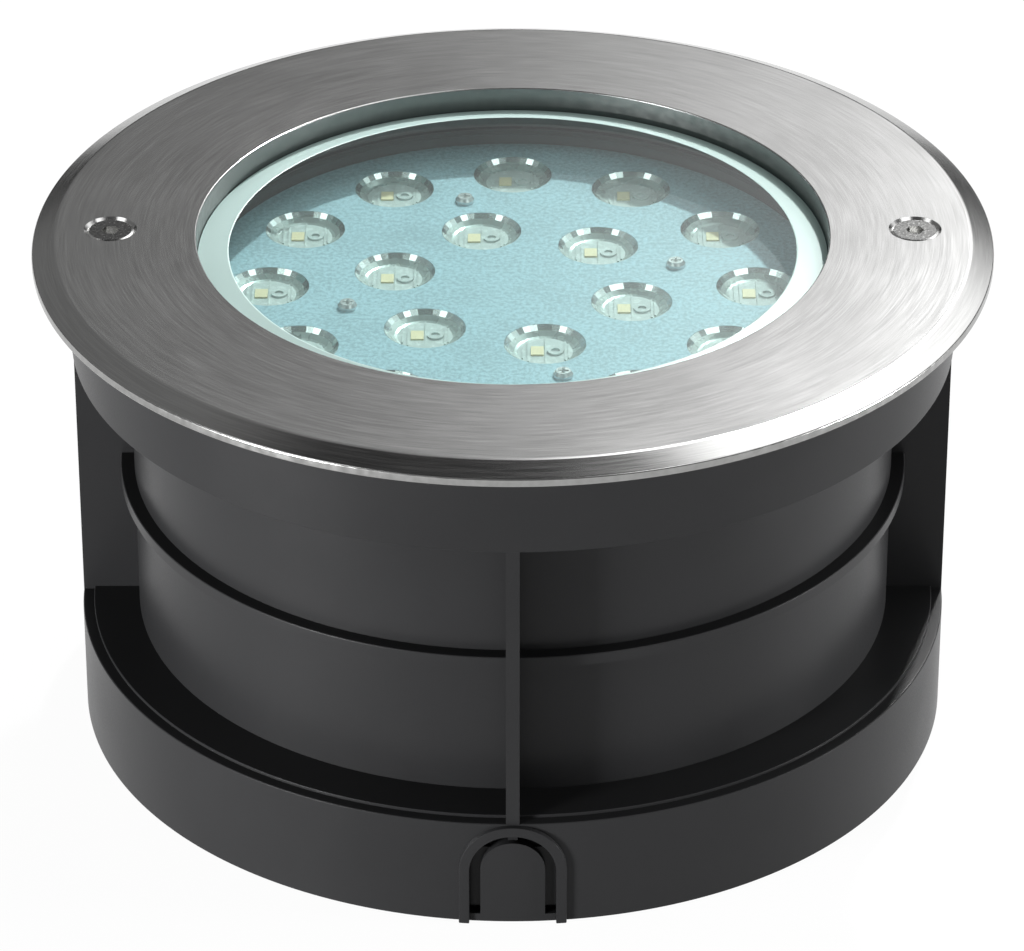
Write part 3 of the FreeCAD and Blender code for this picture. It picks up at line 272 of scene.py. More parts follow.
def brushed_steel(recipe):
    """Turned and brushed stainless steel."""
    steel = tuple(colours().steel)
    streaks = turned_streaks(recipe, 4200.0, 7.0)
    coarse = turned_streaks(recipe, 900.0, 5.0)
    cloud = recipe.noise(recipe.place(), 34.0, 3.0)
    shade = streaks * 0.6 + coarse * 0.25 + cloud * 0.15
    base = recipe.blend(recipe.between(shade, 0.35, 0.65), tinted(steel, 0.93), tinted(steel, 1.07))
    return recipe.surface(Base_Color=base, Metallic=1.0,
                          Roughness=recipe.between(shade, 0.3, 0.7, 0.16, 0.22),
                          Normal=recipe.bump(streaks, 0.000012, 0.3))


def plain_steel(recipe):
    """Bright steel of screws, studs, nuts and washers."""
    grain = recipe.noise(recipe.place(), 900.0, 3.0)
    return recipe.surface(Base_Color=recipe.blend(grain, (0.55, 0.55, 0.54), (0.78, 0.78, 0.77)),
                          Metallic=1.0, Roughness=recipe.between(grain, 0.2, 0.8, 0.14, 0.28),
                          Normal=recipe.bump(grain, 0.00003, 0.2))


def sleeve_plastic(recipe):
    """Moulded plastic with a fine spark-eroded grain and faint flow marks."""
    shade = tuple(colours().plastic)
    place = recipe.place()
    grain = recipe.noise(place, 2600.0, 2.0, 0.6)
    flow = recipe.noise(place, 22.0, 3.0)
    base = recipe.blend(flow * 0.7 + grain * 0.3, tinted(shade, 0.86), tinted(shade, 1.16))
    return recipe.surface(Base_Color=base, Specular_IOR_Level=0.12,
                          Roughness=recipe.between(flow * 0.5 + grain * 0.5, 0.3, 0.7, 0.28, 0.39),
                          Normal=recipe.bump(grain, 0.00003, 0.5))


def polished_glass(recipe):
    """Clear surface with the reflection of glass, the same from both of its sides."""
    facing = recipe.node("ShaderNodeLayerWeight", Blend=0.5, output="Facing")
    squared = facing * facing
    mirrored = squared * squared * facing * 0.96 + 0.04
    through = recipe.node("ShaderNodeBsdfTransparent", None, Color=tuple(colours().glass))
    shine = recipe.node("ShaderNodeBsdfGlossy", None, Color=(1, 1, 1), Roughness=0.03)
    return recipe.node("ShaderNodeMixShader", None, mirrored, through, shine)


def clear_glass(recipe):
    """Clear where it is polished, with a little haze, and ground under the bezel, where its dull grey is a
    painted shade.
    """
    radius, _, _, _ = from_axis(recipe)
    haze = recipe.node("ShaderNodeBsdfDiffuse", None, Color=(0.78, 0.86, 0.85))
    pane = recipe.node("ShaderNodeMixShader", None, 0.035, polished_glass(recipe), haze)
    # Dark grey for the ground glass under the bezel: painted shade, darker than the same ground finish of the
    # border.
    grain = recipe.noise(recipe.place(), 1400.0, 2.0)
    ground = recipe.node("ShaderNodeBsdfPrincipled", None, Roughness=0.6,
                         Base_Color=recipe.blend(grain, (0.15, 0.165, 0.165), (0.20, 0.215, 0.212)))
    under_bezel = radius > (sizes().window_radius + 0.6) * MM
    return recipe.finish(recipe.node("ShaderNodeMixShader", None, under_bezel, pane, ground))


def ground_glass(recipe):
    """Finely ground border of the glass."""
    shade = tuple(colours().border)
    grain = recipe.noise(recipe.place(), 1800.0, 3.0)
    cloud = recipe.noise(recipe.place(), 40.0, 2.0)
    base = recipe.blend(grain * 0.5 + cloud * 0.5, tinted(shade, 0.95), tinted(shade, 1.04))
    return recipe.surface(Base_Color=base, Roughness=0.42, Normal=recipe.bump(grain, 0.00002, 0.4))


def plate_enamel(recipe):
    """Turquoise enamel with a fine pale and dark fleck."""
    shade = tuple(colours().plate)
    place = recipe.place()
    fleck = recipe.noise(place, 900.0, 2.0, 0.7)
    cloud = recipe.noise(place, 60.0, 3.0)
    mix = recipe.between(fleck * 0.75 + cloud * 0.25, 0.38, 0.62)
    return recipe.surface(Base_Color=recipe.blend(mix, tinted(shade, 0.82), tinted(shade, 1.16)),
                          Roughness=recipe.between(cloud, 0.3, 0.7, 0.46, 0.56),
                          Normal=recipe.bump(fleck, 0.000008, 0.4))


def cast_metal(recipe):
    """Dark painted die casting with a slight sand texture."""
    place = recipe.place()
    sand = recipe.noise(place, 1100.0, 3.0, 0.6)
    cloud = recipe.noise(place, 30.0, 2.0)
    base = recipe.blend(sand * 0.5 + cloud * 0.5, (0.055, 0.058, 0.058), (0.09, 0.094, 0.094))
    return recipe.surface(Base_Color=base, Specular_IOR_Level=0.2,
                          Roughness=recipe.between(sand, 0.3, 0.7, 0.48, 0.6),
                          Normal=recipe.bump(sand, 0.00006, 0.5))


def acrylic(low, high, metallic, polish, scale=260.0):
    """Recipe for clear acrylic, silvered as far as it turns light back. Polish is a range of roughness."""
    def made(recipe):
        cloud = recipe.noise(recipe.place(), scale, 2.0)
        return recipe.surface(Base_Color=recipe.blend(cloud, low, high), Metallic=metallic,
                              Roughness=recipe.between(cloud, 0.3, 0.7, *polish))
    return made


def speckled(low, high, roughness, scale=1200.0, metallic=0.0, depth=0.00002):
    """Recipe for a small piece whose colour and sheen vary with a fine grain."""
    def made(recipe):
        grain = recipe.noise(recipe.place(), scale, 3.0)
        return recipe.surface(Base_Color=recipe.blend(grain, low, high), Metallic=metallic,
                              Roughness=recipe.between(grain, 0.25, 0.75, roughness - 0.05, roughness + 0.05),
                              Normal=recipe.bump(grain, depth, 0.35))
    return made


def phosphor(recipe):
    """Face of a light emitter."""
    shade = tuple(colours().phosphor)
    return speckled(tinted(shade, 0.9), shade, 0.5, 2200.0)(recipe)


FINISHES = {
    "brushed_steel": brushed_steel,
    "plain_steel": plain_steel,
    "sleeve_plastic": sleeve_plastic,
    "clear_glass": clear_glass,
    "ground_glass": ground_glass,
    "plate_enamel": plate_enamel,
    "cast_metal": cast_metal,
    "lens_wall": acrylic((0.46, 0.53, 0.51), (0.60, 0.67, 0.64), 0.45, (0.2, 0.32)),
    "lens_body": acrylic((0.62, 0.68, 0.67), (0.74, 0.80, 0.79), 0.0, (0.08, 0.16), 300.0),
    "lens_edge": acrylic((0.74, 0.80, 0.79), (0.92, 0.95, 0.94), 0.9, (0.12, 0.2)),
    # The bezel's window wall: a darker copy of the same steel, painted shade for the dark reflection the wall
    # shows.
    "painted_shade_wall": speckled((0.14, 0.15, 0.148), (0.17, 0.18, 0.177), 0.34, 500.0, 0.9, 0.000002),
    # The bezel's outer side edge: a darker copy of the same steel, painted shade.
    "painted_shade_edge": speckled((0.26, 0.26, 0.255), (0.36, 0.36, 0.355), 0.22, 500.0, 1.0),
    # Top face of the lock screws: a darker copy of the steel, painted shade.
    "screw_face_painted_shade": speckled((0.09, 0.09, 0.09), (0.21, 0.21, 0.205), 0.24, 1500.0, 1.0, 0.00006),
    # Plate screws: a lighter copy of the plain steel, painted highlight.
    "screw_steel_painted_highlight": speckled((0.72, 0.74, 0.73), (0.92, 0.93, 0.92), 0.22, 900.0, 0.7),
    "lens_pool": speckled((0.50, 0.57, 0.55), (0.74, 0.80, 0.78), 0.25, 500.0),
    "phosphor": phosphor,
    "black_rubber": speckled((0.012, 0.012, 0.012), (0.025, 0.025, 0.026), 0.62, 900.0),
    "turned_brass": speckled((0.55, 0.40, 0.16), (0.78, 0.60, 0.28), 0.28, 700.0, 1.0),
    "white_plastic": speckled((0.70, 0.70, 0.67), (0.80, 0.80, 0.78), 0.4),
    "board_white": speckled((0.70, 0.73, 0.71), (0.80, 0.83, 0.81), 0.42, 500.0),
    "grey_pad": speckled((0.26, 0.27, 0.29), (0.36, 0.37, 0.39), 0.7),
    "lead_sleeve": speckled((0.45, 0.03, 0.02), (0.58, 0.05, 0.04), 0.38),
    "board_green": speckled((0.02, 0.14, 0.05), (0.035, 0.21, 0.08), 0.36, 400.0),
    "winding_tape": speckled((0.62, 0.47, 0.06), (0.74, 0.58, 0.10), 0.4, 600.0),
    "capacitor_sleeve": speckled((0.03, 0.035, 0.07), (0.05, 0.06, 0.11), 0.3),
    "copper_winding": speckled((0.42, 0.17, 0.07), (0.66, 0.32, 0.16), 0.3, 800.0, 0.9),
    "terminal_green": speckled((0.03, 0.24, 0.09), (0.05, 0.32, 0.13), 0.45),
    "gland_plastic": speckled((0.022, 0.022, 0.024), (0.036, 0.036, 0.038), 0.5, 1500.0),
    "washer_plastic": speckled((0.60, 0.60, 0.58), (0.74, 0.74, 0.72), 0.5),
}

# The finish of each of the part's material slots. Where a slot isn't listed, its finish has its name.
SLOT_FINISH = {
    "black_plastic": "sleeve_plastic",
    "brass": "turned_brass",
    "brushed_stainless": "brushed_steel",
    "stainless_fixing": "plain_steel",
    "tempered_glass": "clear_glass",
    "clear_lens": "lens_body",
    "cast_aluminium": "cast_metal",
    "enamelled_plate": "plate_enamel",
    "emitter": "phosphor",
}

# Solids whose finish differs from that of their slot. The plate screws take a lighter copy of the steel, a
# painted highlight.
NODE_FINISH = {"plate_screws": "screw_steel_painted_highlight"}


# ---------------------------------------------------------------------------------------------------
# Mesh helpers
# ---------------------------------------------------------------------------------------------------
Corner = namedtuple("Corner", "out up rounding")
ON_AXIS = 1e-8


def corner(out, up, rounding=0.0):
    """A corner of a turned outline, in millimetres."""
    return Corner(out * MM, up * MM, rounding * MM)


def new_faces(bm, known):
    return [face for face in bm.faces if face not in known]


def verts_of(faces):
    return list({vert for face in faces for vert in face.verts})


def verts_in(result):
    """The vertices among what an operator returns."""
    return [item for item in result["geom"] if isinstance(item, bmesh.types.BMVert)]


def turn(bm, corners, steps, round_steps=4):
    """Spins a closed outline about the upright axis. Returns the new faces."""
    known = set(bm.faces)
    verts = [bm.verts.new((c.out, 0, c.up)) for c in corners]
    bm.faces.new(verts)
    for vert, c in zip(verts, corners):
        if c.rounding:
            bmesh.ops.bevel(bm, geom=[vert], offset=c.rounding, offset_type="OFFSET",
                            segments=round_steps, profile=0.5, affect="VERTICES", material=-1)
    sheet = next(face for face in bm.faces if face not in known)
    edges = list(sheet.edges)
    bmesh.ops.delete(bm, geom=[sheet], context="FACES_ONLY")
    on_axis = [e for e in edges if all(abs(v.co.x) < ON_AXIS for v in e.verts)]
    edges = [e for e in edges if e not in on_axis]
    bmesh.ops.delete(bm, geom=on_axis, context="EDGES")
    outline = edges + list({vert for edge in edges for vert in edge.verts})
    bmesh.ops.spin(bm, geom=outline, cent=(0, 0, 0), axis=(0, 0, 1), dvec=(0, 0, 0), angle=FULL_TURN,
                   steps=steps, use_merge=True, use_normal_flip=False, use_duplicate=False)
    bmesh.ops.remove_doubles(bm, verts=verts_of(new_faces(bm, known)), dist=1e-7)
    fresh = new_faces(bm, known)
    bmesh.ops.recalc_face_normals(bm, faces=fresh)
    return fresh


def prism(bm, corners, low, high):
    """Straight upright prism. Corners are (x, y) in millimetres."""
    known = set(bm.faces)
    face = bm.faces.new([bm.verts.new((x * MM, y * MM, low * MM)) for x, y in corners])
    raised = bmesh.ops.extrude_face_region(bm, geom=[face])
    bmesh.ops.translate(bm, verts=verts_in(raised), vec=(0, 0, (high - low) * MM))
    fresh = new_faces(bm, known)
    bmesh.ops.recalc_face_normals(bm, faces=fresh)
    return fresh


def shift(bm, faces, across, along=0.0):
    bmesh.ops.translate(bm, verts=verts_of(faces), vec=(across * MM, along * MM, 0))


def swing(bm, faces, angle):
    """Turns faces about the upright axis."""
    bmesh.ops.rotate(bm, verts=verts_of(faces), cent=(0, 0, 0), matrix=Matrix.Rotation(angle, 3, "Z"))


def plates_round(bm, count, inner, outer, thickness, low, high, start=0.0):
    """Upright radial plates, evenly spread about the axis. Start is a share of the space between them."""
    half = thickness / 2
    for index in range(count):
        plate = prism(bm, [(inner, -half), (outer, -half), (outer, half), (inner, half)], low, high)
        swing(bm, plate, (index + start) * FULL_TURN / count)


def turn_at_screws(bm, corners, steps):
    """The same turned shape at the place of either lock screw."""
    for side in SCREW_SIDES.values():
        shift(bm, turn(bm, corners, steps), side * sizes().screw_circle)


def to_object(name, bm):
    mesh = bpy.data.meshes.new(name)
    bm.to_mesh(mesh)
    bm.free()
    piece = bpy.data.objects.new(name, mesh)
    bpy.context.scene.collection.objects.link(piece)
    return piece


def settle(piece):
    """Replaces a piece's mesh by the one its modifiers give."""
    bpy.context.view_layer.update()
    solved = bpy.data.meshes.new_from_object(piece.evaluated_get(bpy.context.evaluated_depsgraph_get()))
    if not solved.polygons:
        raise RuntimeError("Nothing is left of " + piece.name)
    piece.modifiers.clear()
    old = piece.data
    piece.data = solved
    bpy.data.meshes.remove(old)


def cut(piece, bm):
    """Takes the bmesh's closed shapes out of the piece."""
    cutter = to_object("Cutter", bm)
    step = piece.modifiers.new("Cut", "BOOLEAN")
    step.operation = "DIFFERENCE"
    step.solver = "EXACT"
    step.object = cutter
    settle(piece)
    bpy.data.objects.remove(cutter)


def smooth(piece, sharp_angle=32.0):
    """Smooth shading that stays crisp at sharp edges and flat on flat faces."""
    piece.data.shade_smooth()
    piece.data.set_sharp_from_angle(angle=math.radians(sharp_angle))
    step = piece.modifiers.new("Normals", "WEIGHTED_NORMAL")
    step.mode = "FACE_AREA"
    step.weight = 100
    step.keep_sharp = True
    return piece


def dress(piece, body, slot, *finishes, replaces=()):
    """Gives a piece its materials and its body. The slot it is given is not used."""
    for name in finishes:
        piece.data.materials.append(finish(name))
    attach(piece, body)
    if replaces:
        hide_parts(*replaces)


# ---------------------------------------------------------------------------------------------------
# Pieces
# ---------------------------------------------------------------------------------------------------
# Fixed sizes in millimetres. Heights are counted from the floor the sleeve stands on.
SLEEVE = SimpleNamespace(skin=3, wall=96.5, bore=93.5, edge=0.4, ledge=29.5, rim=28.7, rib_top=69.4)
KNOCK_OUT = SimpleNamespace(centre=15.2, score_inside=7.9, score_outside=10.6, score_foot=2.3, score_depth=1.6,
                            frame_outside=13.2, proud=1.3, bridge=2.4, crown_start=5.8, slot_top=3.8,
                            membrane=0.3)


def make_bezel():
    """Turned plate with a sloping rim, a skirt under its window and two countersunk holes."""
    s = sizes()
    low, high = node_box("bezel_ring")
    top, bottom = high.z, high.z - s.bezel_thickness
    skirt_out = s.window_radius + 4.6
    bm = bmesh.new()
    turn(bm, [
        corner(s.window_radius, low.z),
        corner(skirt_out, low.z),
        corner(skirt_out, bottom),
        corner(s.bezel_radius, bottom, s.edge),
        corner(s.bezel_radius, top - s.chamfer_drop, s.edge),
        corner(s.bezel_radius - s.chamfer_width, top, 0.5),
        corner(s.window_radius, top, s.edge),
    ], s.segments)
    bezel = to_object("bezel", bm)

    shank_hole, lip, washer_recess, cone_mouth, cone_depth = 3.25, 0.45, 4.7, 6.6, 1.9
    bm = bmesh.new()
    turn_at_screws(bm, [
        corner(0, bottom - 1),
        corner(shank_hole, bottom - 1),
        corner(shank_hole, bottom + lip),
        corner(washer_recess, bottom + lip),
        corner(washer_recess, top - cone_depth),
        corner(cone_mouth, top),
        corner(cone_mouth, top + 1),
        corner(0, top + 1),
    ], SMALL_STEPS)
    cut(bezel, bm)

    # The window wall and the outer side edge take darker copies of the steel than the face: painted shade.
    face_finish, wall_finish, edge_finish = range(3)
    for face in bezel.data.polygons:
        out = math.hypot(face.center.x, face.center.y) / MM
        if abs(face.normal.z) < 0.5:
            face.material_index = wall_finish if out < s.window_radius + 0.1 else edge_finish
        else:
            face.material_index = face_finish
    smooth(bezel)
    dress(bezel, "lamp", "brushed_stainless", "brushed_steel", "painted_shade_wall", "painted_shade_edge",
          replaces=["bezel_ring"])


def make_glass():
    """Stepped glass, with the ground border on its bevel as a thin piece of its own."""
    s = sizes()
    low, high = node_box("glass_disc")
    top, step = high.z, 125.2
    bevel_out, bevel_foot, skin = s.window_radius - 0.2, top - 1.9, 0.1
    bm = bmesh.new()
    turn(bm, [
        corner(0, low.z),
        corner(high.x, low.z, 0.4),
        corner(high.x, step, 0.3),
        corner(bevel_out, step),
        corner(bevel_out, bevel_foot - 0.25),
        corner(s.pane_radius, top - 0.12),
        corner(0, top - 0.12),
    ], s.segments)
    pane = smooth(to_object("glass_pane", bm))
    dress(pane, "lamp", "tempered_glass", "clear_glass", replaces=["glass_disc"])
    bm = bmesh.new()
    turn(bm, [
        corner(s.pane_radius, top - skin),
        corner(bevel_out, bevel_foot - 0.22),
        corner(bevel_out, bevel_foot + 0.03),
        corner(s.pane_radius + 0.3, top, 0.15),
    ], s.segments)
    border = smooth(to_object("glass_border", bm))
    dress(border, "lamp", "tempered_glass", "ground_glass")


def lens_shape(plate_top):
    """One lens about the upright axis, with the emitter's image at the bottom of its bowl."""
    foot, floor = 103.7, plate_top - 2.3
    spigot, rim, bowl, pool = 5.0, 10.12, 8.95, 6.9
    body_finish, edge_finish, wall_finish, pool_finish, chip_finish = range(5)
    bm = bmesh.new()
    shell = turn(bm, [
        corner(0, foot),
        corner(spigot, foot),
        corner(spigot, foot + 2.0),
        corner(9.6, plate_top - 2.2),
        corner(rim, plate_top - 2.0),
        corner(rim, plate_top - 0.05),
        corner(bowl, plate_top - 1.15),
        corner(7.6, floor + 0.25),
        corner(pool, floor),
        corner(0, floor),
    ], 32)
    for face in shell:
        centre = face.calc_center_median() / MM
        out = math.hypot(centre.x, centre.y)
        inside = face.normal.z > 0.05 and centre.z > floor - 0.1
        bowl_finish = edge_finish if out > bowl - 0.05 else wall_finish if out > pool - 0.5 else pool_finish
        face.material_index = bowl_finish if inside else body_finish
    under = floor - 0.2
    drawn_lines = ((-5.6, 0.2), (-4.2, 0.22), (0.1, 0.18), (5.0, 0.22), (5.8, 0.2))
    for place, half in drawn_lines:
        reach = math.sqrt((pool - 0.1) ** 2 - place ** 2)
        corners = [(place - half, -reach), (place + half, -reach), (place + half, reach), (place - half, reach)]
        for face in prism(bm, corners, under, floor + 0.35):
            face.material_index = pool_finish
    for face in prism(bm, [(-3.5, -2.1), (-0.3, -2.1), (-0.3, 2.1), (-3.5, 2.1)], under, floor + 0.4):
        face.material_index = chip_finish
    ring_inside, ring_outside, ring_top = 1.1, 2.1, floor + 0.5
    ring = turn(bm, [
        corner(ring_inside, under),
        corner(ring_outside, under),
        corner(ring_outside, ring_top),
        corner(ring_inside, ring_top),
    ], 16)
    shift(bm, ring, 2.6)
    for face in ring:
        face.material_index = pool_finish
    return bm


def make_lenses():
    """A lens in every opening of the plate."""
    plate_top = node_box("lens_plate")[1].z
    for node in LENS_NODES:
        low, high = node_box(node)
        bm = lens_shape(plate_top)
        shift(bm, bm.faces, (low.x + high.x) / 2, (low.y + high.y) / 2)
        lens = to_object(node.replace("lens", "optic"), bm)
        dress(lens, "lamp", "clear_lens", "lens_body", "lens_edge", "lens_wall", "lens_pool", "phosphor",
              replaces=[node])


def make_lock_screws():
    """Countersunk screws with a hexagon socket; the top face is coloured darker than the rest of the steel as
    painted shade.
    """
    shank, head, face_radius, socket, socket_depth = 2.95, 5.85, 5.35, 2.31, 2.2
    side_finish, face_finish = range(2)
    for name, side in SCREW_SIDES.items():
        node = "lock_screw_" + name
        low, high = node_box(node)
        top = high.z
        bm = bmesh.new()
        turn(bm, [
            corner(0, low.z),
            corner(shank, low.z, 0.4),
            corner(shank, top - 3.1),
            corner(head, top - 0.6, 0.1),
            corner(head, top - 0.35),
            corner(face_radius, top),
            corner(0, top),
        ], SMALL_STEPS)
        screw = to_object("lock_screw_head_" + name, bm)
        bm = bmesh.new()
        sixth = math.pi / 3
        prism(bm, [(socket * math.cos(k * sixth), socket * math.sin(k * sixth)) for k in range(6)],
              top - socket_depth, top + 1)
        cut(screw, bm)
        screw.data.transform(Matrix.Translation((side * sizes().screw_circle * MM, 0, 0)))
        # The top face takes the darker steel, a painted shade; the rest stays plain steel.
        for face in screw.data.polygons:
            on_face = face.normal.z > 0.9 and face.center.z > (top - 1) * MM
            face.material_index = face_finish if on_face else side_finish
        smooth(screw)
        dress(screw, name + "_screw", "stainless_fixing", "plain_steel", "screw_face_painted_shade", replaces=[node])


def arch_band(bm, inner, outer, centre, foot):
    """Flat arch with two legs in the plane y = 0, in millimetres. Returns its faces."""
    known = set(bm.faces)
    ends = [bm.verts.new((radius * MM, 0, centre * MM)) for radius in (inner, outer)]
    start = bm.edges.new(ends)
    spun = bmesh.ops.spin(bm, geom=[*ends, start], cent=(0, 0, centre * MM), axis=(0, -1, 0),
                          dvec=(0, 0, 0), angle=math.pi, steps=28, use_merge=False, use_duplicate=False)
    last = next(item for item in spun["geom_last"] if isinstance(item, bmesh.types.BMEdge))
    for edge in (start, last):
        leg = bmesh.ops.extrude_edge_only(bm, edges=[edge])
        bmesh.ops.translate(bm, verts=verts_in(leg), vec=(0, 0, (foot - centre) * MM))
    return new_faces(bm, known)


def wrap(bm, faces, outside, inside):
    """Bends flat faces round the front of a drum and gives them depth. Radii in millimetres."""
    known = set(bm.faces) - set(faces)
    front = verts_of(faces)
    back = verts_in(bmesh.ops.extrude_face_region(bm, geom=faces))
    for verts, radius in ((front, outside), (back, inside)):
        for vert in verts:
            vert.co.y = -math.sqrt((radius * MM) ** 2 - vert.co.x ** 2)
    bmesh.ops.recalc_face_normals(bm, faces=new_faces(bm, known))


def also_at_back(bm):
    """Repeats what stands at the front half a turn round the axis."""
    again = bmesh.ops.duplicate(bm, geom=bm.verts[:] + bm.edges[:] + bm.faces[:])
    bmesh.ops.rotate(bm, verts=verts_in(again), cent=(0, 0, 0), matrix=Matrix.Rotation(math.pi, 3, "Z"))


def clipped(bm, faces, point, normal):
    """Cuts faces by a plane and drops the part behind it. Returns those that are left."""
    others = set(bm.faces) - set(faces)
    geom = list(faces) + list({edge for face in faces for edge in face.edges}) + verts_of(faces)
    bmesh.ops.bisect_plane(bm, geom=geom, plane_co=point, plane_no=normal, clear_inner=True)
    return new_faces(bm, others)


def sleeve_shell(s, top):
    """Turned part of the sleeve: base ring, narrower wall with its rib, and collar."""
    outside, edge = s.sleeve_radius, SLEEVE.edge
    under_collar, collar_edge = top - SLEEVE.skin, top - s.collar_depth
    rib_out, rib_low = SLEEVE.wall + 3.5, SLEEVE.rib_top - 2.9
    seat = outside - 2.8
    skin = outside - SLEEVE.skin
    bm = bmesh.new()
    turn(bm, [
        corner(skin, 0),
        corner(outside, 0, edge),
        corner(outside, SLEEVE.rim, edge),
        corner(seat, SLEEVE.rim),
        corner(seat, SLEEVE.ledge, 0.25),
        corner(SLEEVE.wall, SLEEVE.ledge),
        corner(SLEEVE.wall, rib_low),
        corner(rib_out, rib_low),
        corner(rib_out, SLEEVE.rib_top, edge),
        corner(SLEEVE.wall, SLEEVE.rib_top),
        corner(SLEEVE.wall, under_collar),
        corner(skin, under_collar),
        corner(skin, collar_edge),
        corner(outside, collar_edge, 0.2),
        corner(outside, top, edge),
        corner(SLEEVE.bore, top, edge),
        corner(SLEEVE.bore, SLEEVE.ledge - SLEEVE.skin),
        corner(skin, SLEEVE.ledge - SLEEVE.skin),
    ], s.segments, round_steps=3)
    return to_object("sleeve_moulding", bm)


def cut_knock_outs(sleeve, outside):
    """The scored arch of each cable knock-out, deeper at its crown and feet."""
    inner, outer, centre = KNOCK_OUT.score_inside, KNOCK_OUT.score_outside, KNOCK_OUT.centre
    arch = (inner, outer, centre, KNOCK_OUT.score_foot)
    bm = bmesh.new()
    wrap(bm, arch_band(bm, *arch), outside + 2, outside - KNOCK_OUT.score_depth)
    also_at_back(bm)
    cut(sleeve, bm)
    slot_floor = outside - SLEEVE.skin + KNOCK_OUT.membrane
    bm = bmesh.new()
    for side in SCREW_SIDES.values():
        crown = clipped(bm, arch_band(bm, *arch), (0, 0, (centre + KNOCK_OUT.crown_start) * MM), (0, 0, 1))
        beside_bridge = (side * KNOCK_OUT.bridge / 2 * MM, 0, 0)
        wrap(bm, clipped(bm, crown, beside_bridge, (side, 0, 0)), outside + 1, slot_floor)
        foot = clipped(bm, arch_band(bm, *arch), (0, 0, KNOCK_OUT.slot_top * MM), (0, 0, -1))
        wrap(bm, clipped(bm, foot, (0, 0, 0), (side, 0, 0)), outside + 1, slot_floor)
    also_at_back(bm)
    cut(sleeve, bm)


def frame_knock_outs(bm, outside):
    """The proud frame round each knock-out."""
    wrap(bm, arch_band(bm, KNOCK_OUT.score_outside, KNOCK_OUT.frame_outside, KNOCK_OUT.centre, 0),
         outside + KNOCK_OUT.proud, outside - 1.4)
    rims = [e for e in bm.edges if e.is_manifold and e.calc_face_angle(0) > 1]
    bmesh.ops.bevel(bm, geom=rims, offset=0.25 * MM, offset_type="OFFSET", segments=2, profile=0.5,
                    affect="EDGES", material=-1)
    also_at_back(bm)


def make_sleeve():
    """Moulded sleeve with knock-outs, fins, stiffeners and the bosses of the threaded inserts."""
    s = sizes()
    top = node_box("mounting_sleeve")[1].z
    outside, edge, overlap = s.sleeve_radius, SLEEVE.edge, 0.4
    skin, root = outside - SLEEVE.skin, SLEEVE.wall - 1.5
    under_collar, collar_edge = top - SLEEVE.skin, top - s.collar_depth
    sleeve = sleeve_shell(s, top)
    cut_knock_outs(sleeve, outside)

    insert_hole, insert_depth = 4.55, 13
    bm = bmesh.new()
    turn_at_screws(bm, [
        corner(0, top - insert_depth),
        corner(insert_hole, top - insert_depth),
        corner(insert_hole, top + 1),
        corner(0, top + 1),
    ], 48)
    cut(sleeve, bm)

    bm = bmesh.new()
    frame_knock_outs(bm, outside)
    plates_round(bm, 4, root, outside - 0.05, 3.3, SLEEVE.rim - overlap, under_collar + overlap)
    plates_round(bm, 28, root, skin + overlap, 2.0, collar_edge + 6, under_collar + overlap)
    boss, boss_hole, boss_floor = 7, 4.25, 3
    turn_at_screws(bm, [
        corner(0, collar_edge),
        corner(boss, collar_edge, edge),
        corner(boss, under_collar + overlap),
        corner(boss_hole, under_collar + overlap),
        corner(boss_hole, collar_edge + boss_floor),
        corner(0, collar_edge + boss_floor),
    ], 48)
    bm.from_mesh(sleeve.data)
    bm.to_mesh(sleeve.data)
    bm.free()
    smooth(sleeve, 28.0)
    dress(sleeve, "sleeve", "black_plastic", "sleeve_plastic", replaces=["mounting_sleeve"])


def make_casting():
    """Deep flanged cup with a floor between lens chamber and driver chamber, and fins round its wall."""
    low, high = node_box("lamp_body")
    top, foot = high.z, low.z
    edge, wall, lower_flange, recess = 0.4, 82.9, 89.7, 84
    chamber, cup = wall - 5, wall - 3
    chamber_top, cup_floor, glass_seat = top - 33.3, top - 27.3, top - 9.5
    flange_under, lower_flange_top = top - 13.5, foot + 8
    bm = bmesh.new()
    turn(bm, [
        corner(0, chamber_top),
        corner(chamber, chamber_top, edge),
        corner(chamber, foot),
        corner(lower_flange, foot),
        corner(lower_flange, lower_flange_top, edge),
        corner(wall, lower_flange_top),
        corner(wall, flange_under),
        corner(high.x, flange_under, edge),
        corner(high.x, top),
        corner(recess, top),
        corner(recess, glass_seat, 0.2),
        corner(cup, glass_seat, 0.2),
        corner(cup, cup_floor, edge),
        corner(0, cup_floor),
    ], sizes().segments)
    plates_round(bm, 24, wall - 1.5, wall + 7, 2.5, lower_flange_top - edge, flange_under + edge, start=0.5)
    casting = smooth(to_object("lamp_casting", bm))
    dress(casting, "lamp", "cast_aluminium", "cast_metal", replaces=["lamp_body"])


def dress_frame():
    """Gives every solid that stays in view its finish."""
    record = frame["record"]
    slots = {part["node"]: part["material_slot"] for part in record["subparts"]}
    for node, solid in NODES.items():
        slot_finish = SLOT_FINISH.get(slots[node], slots[node])
        solid.data.materials.clear()
        solid.data.materials.append(finish(NODE_FINISH.get(node, slot_finish)))


# ---------------------------------------------------------------------------------------------------
# Stage
# ---------------------------------------------------------------------------------------------------
def shown(recipe):
    """1 for what the camera, metal and glass see, and 0 for light that falls on the lamp."""
    seen, mirrored, refracted = recipe.outputs(
        "ShaderNodeLightPath", ("Is Camera Ray", "Is Glossy Ray", "Is Transmission Ray"))
    return recipe.node("ShaderNodeMath", {"operation": "MINIMUM"}, seen + mirrored + refracted, 1.0)


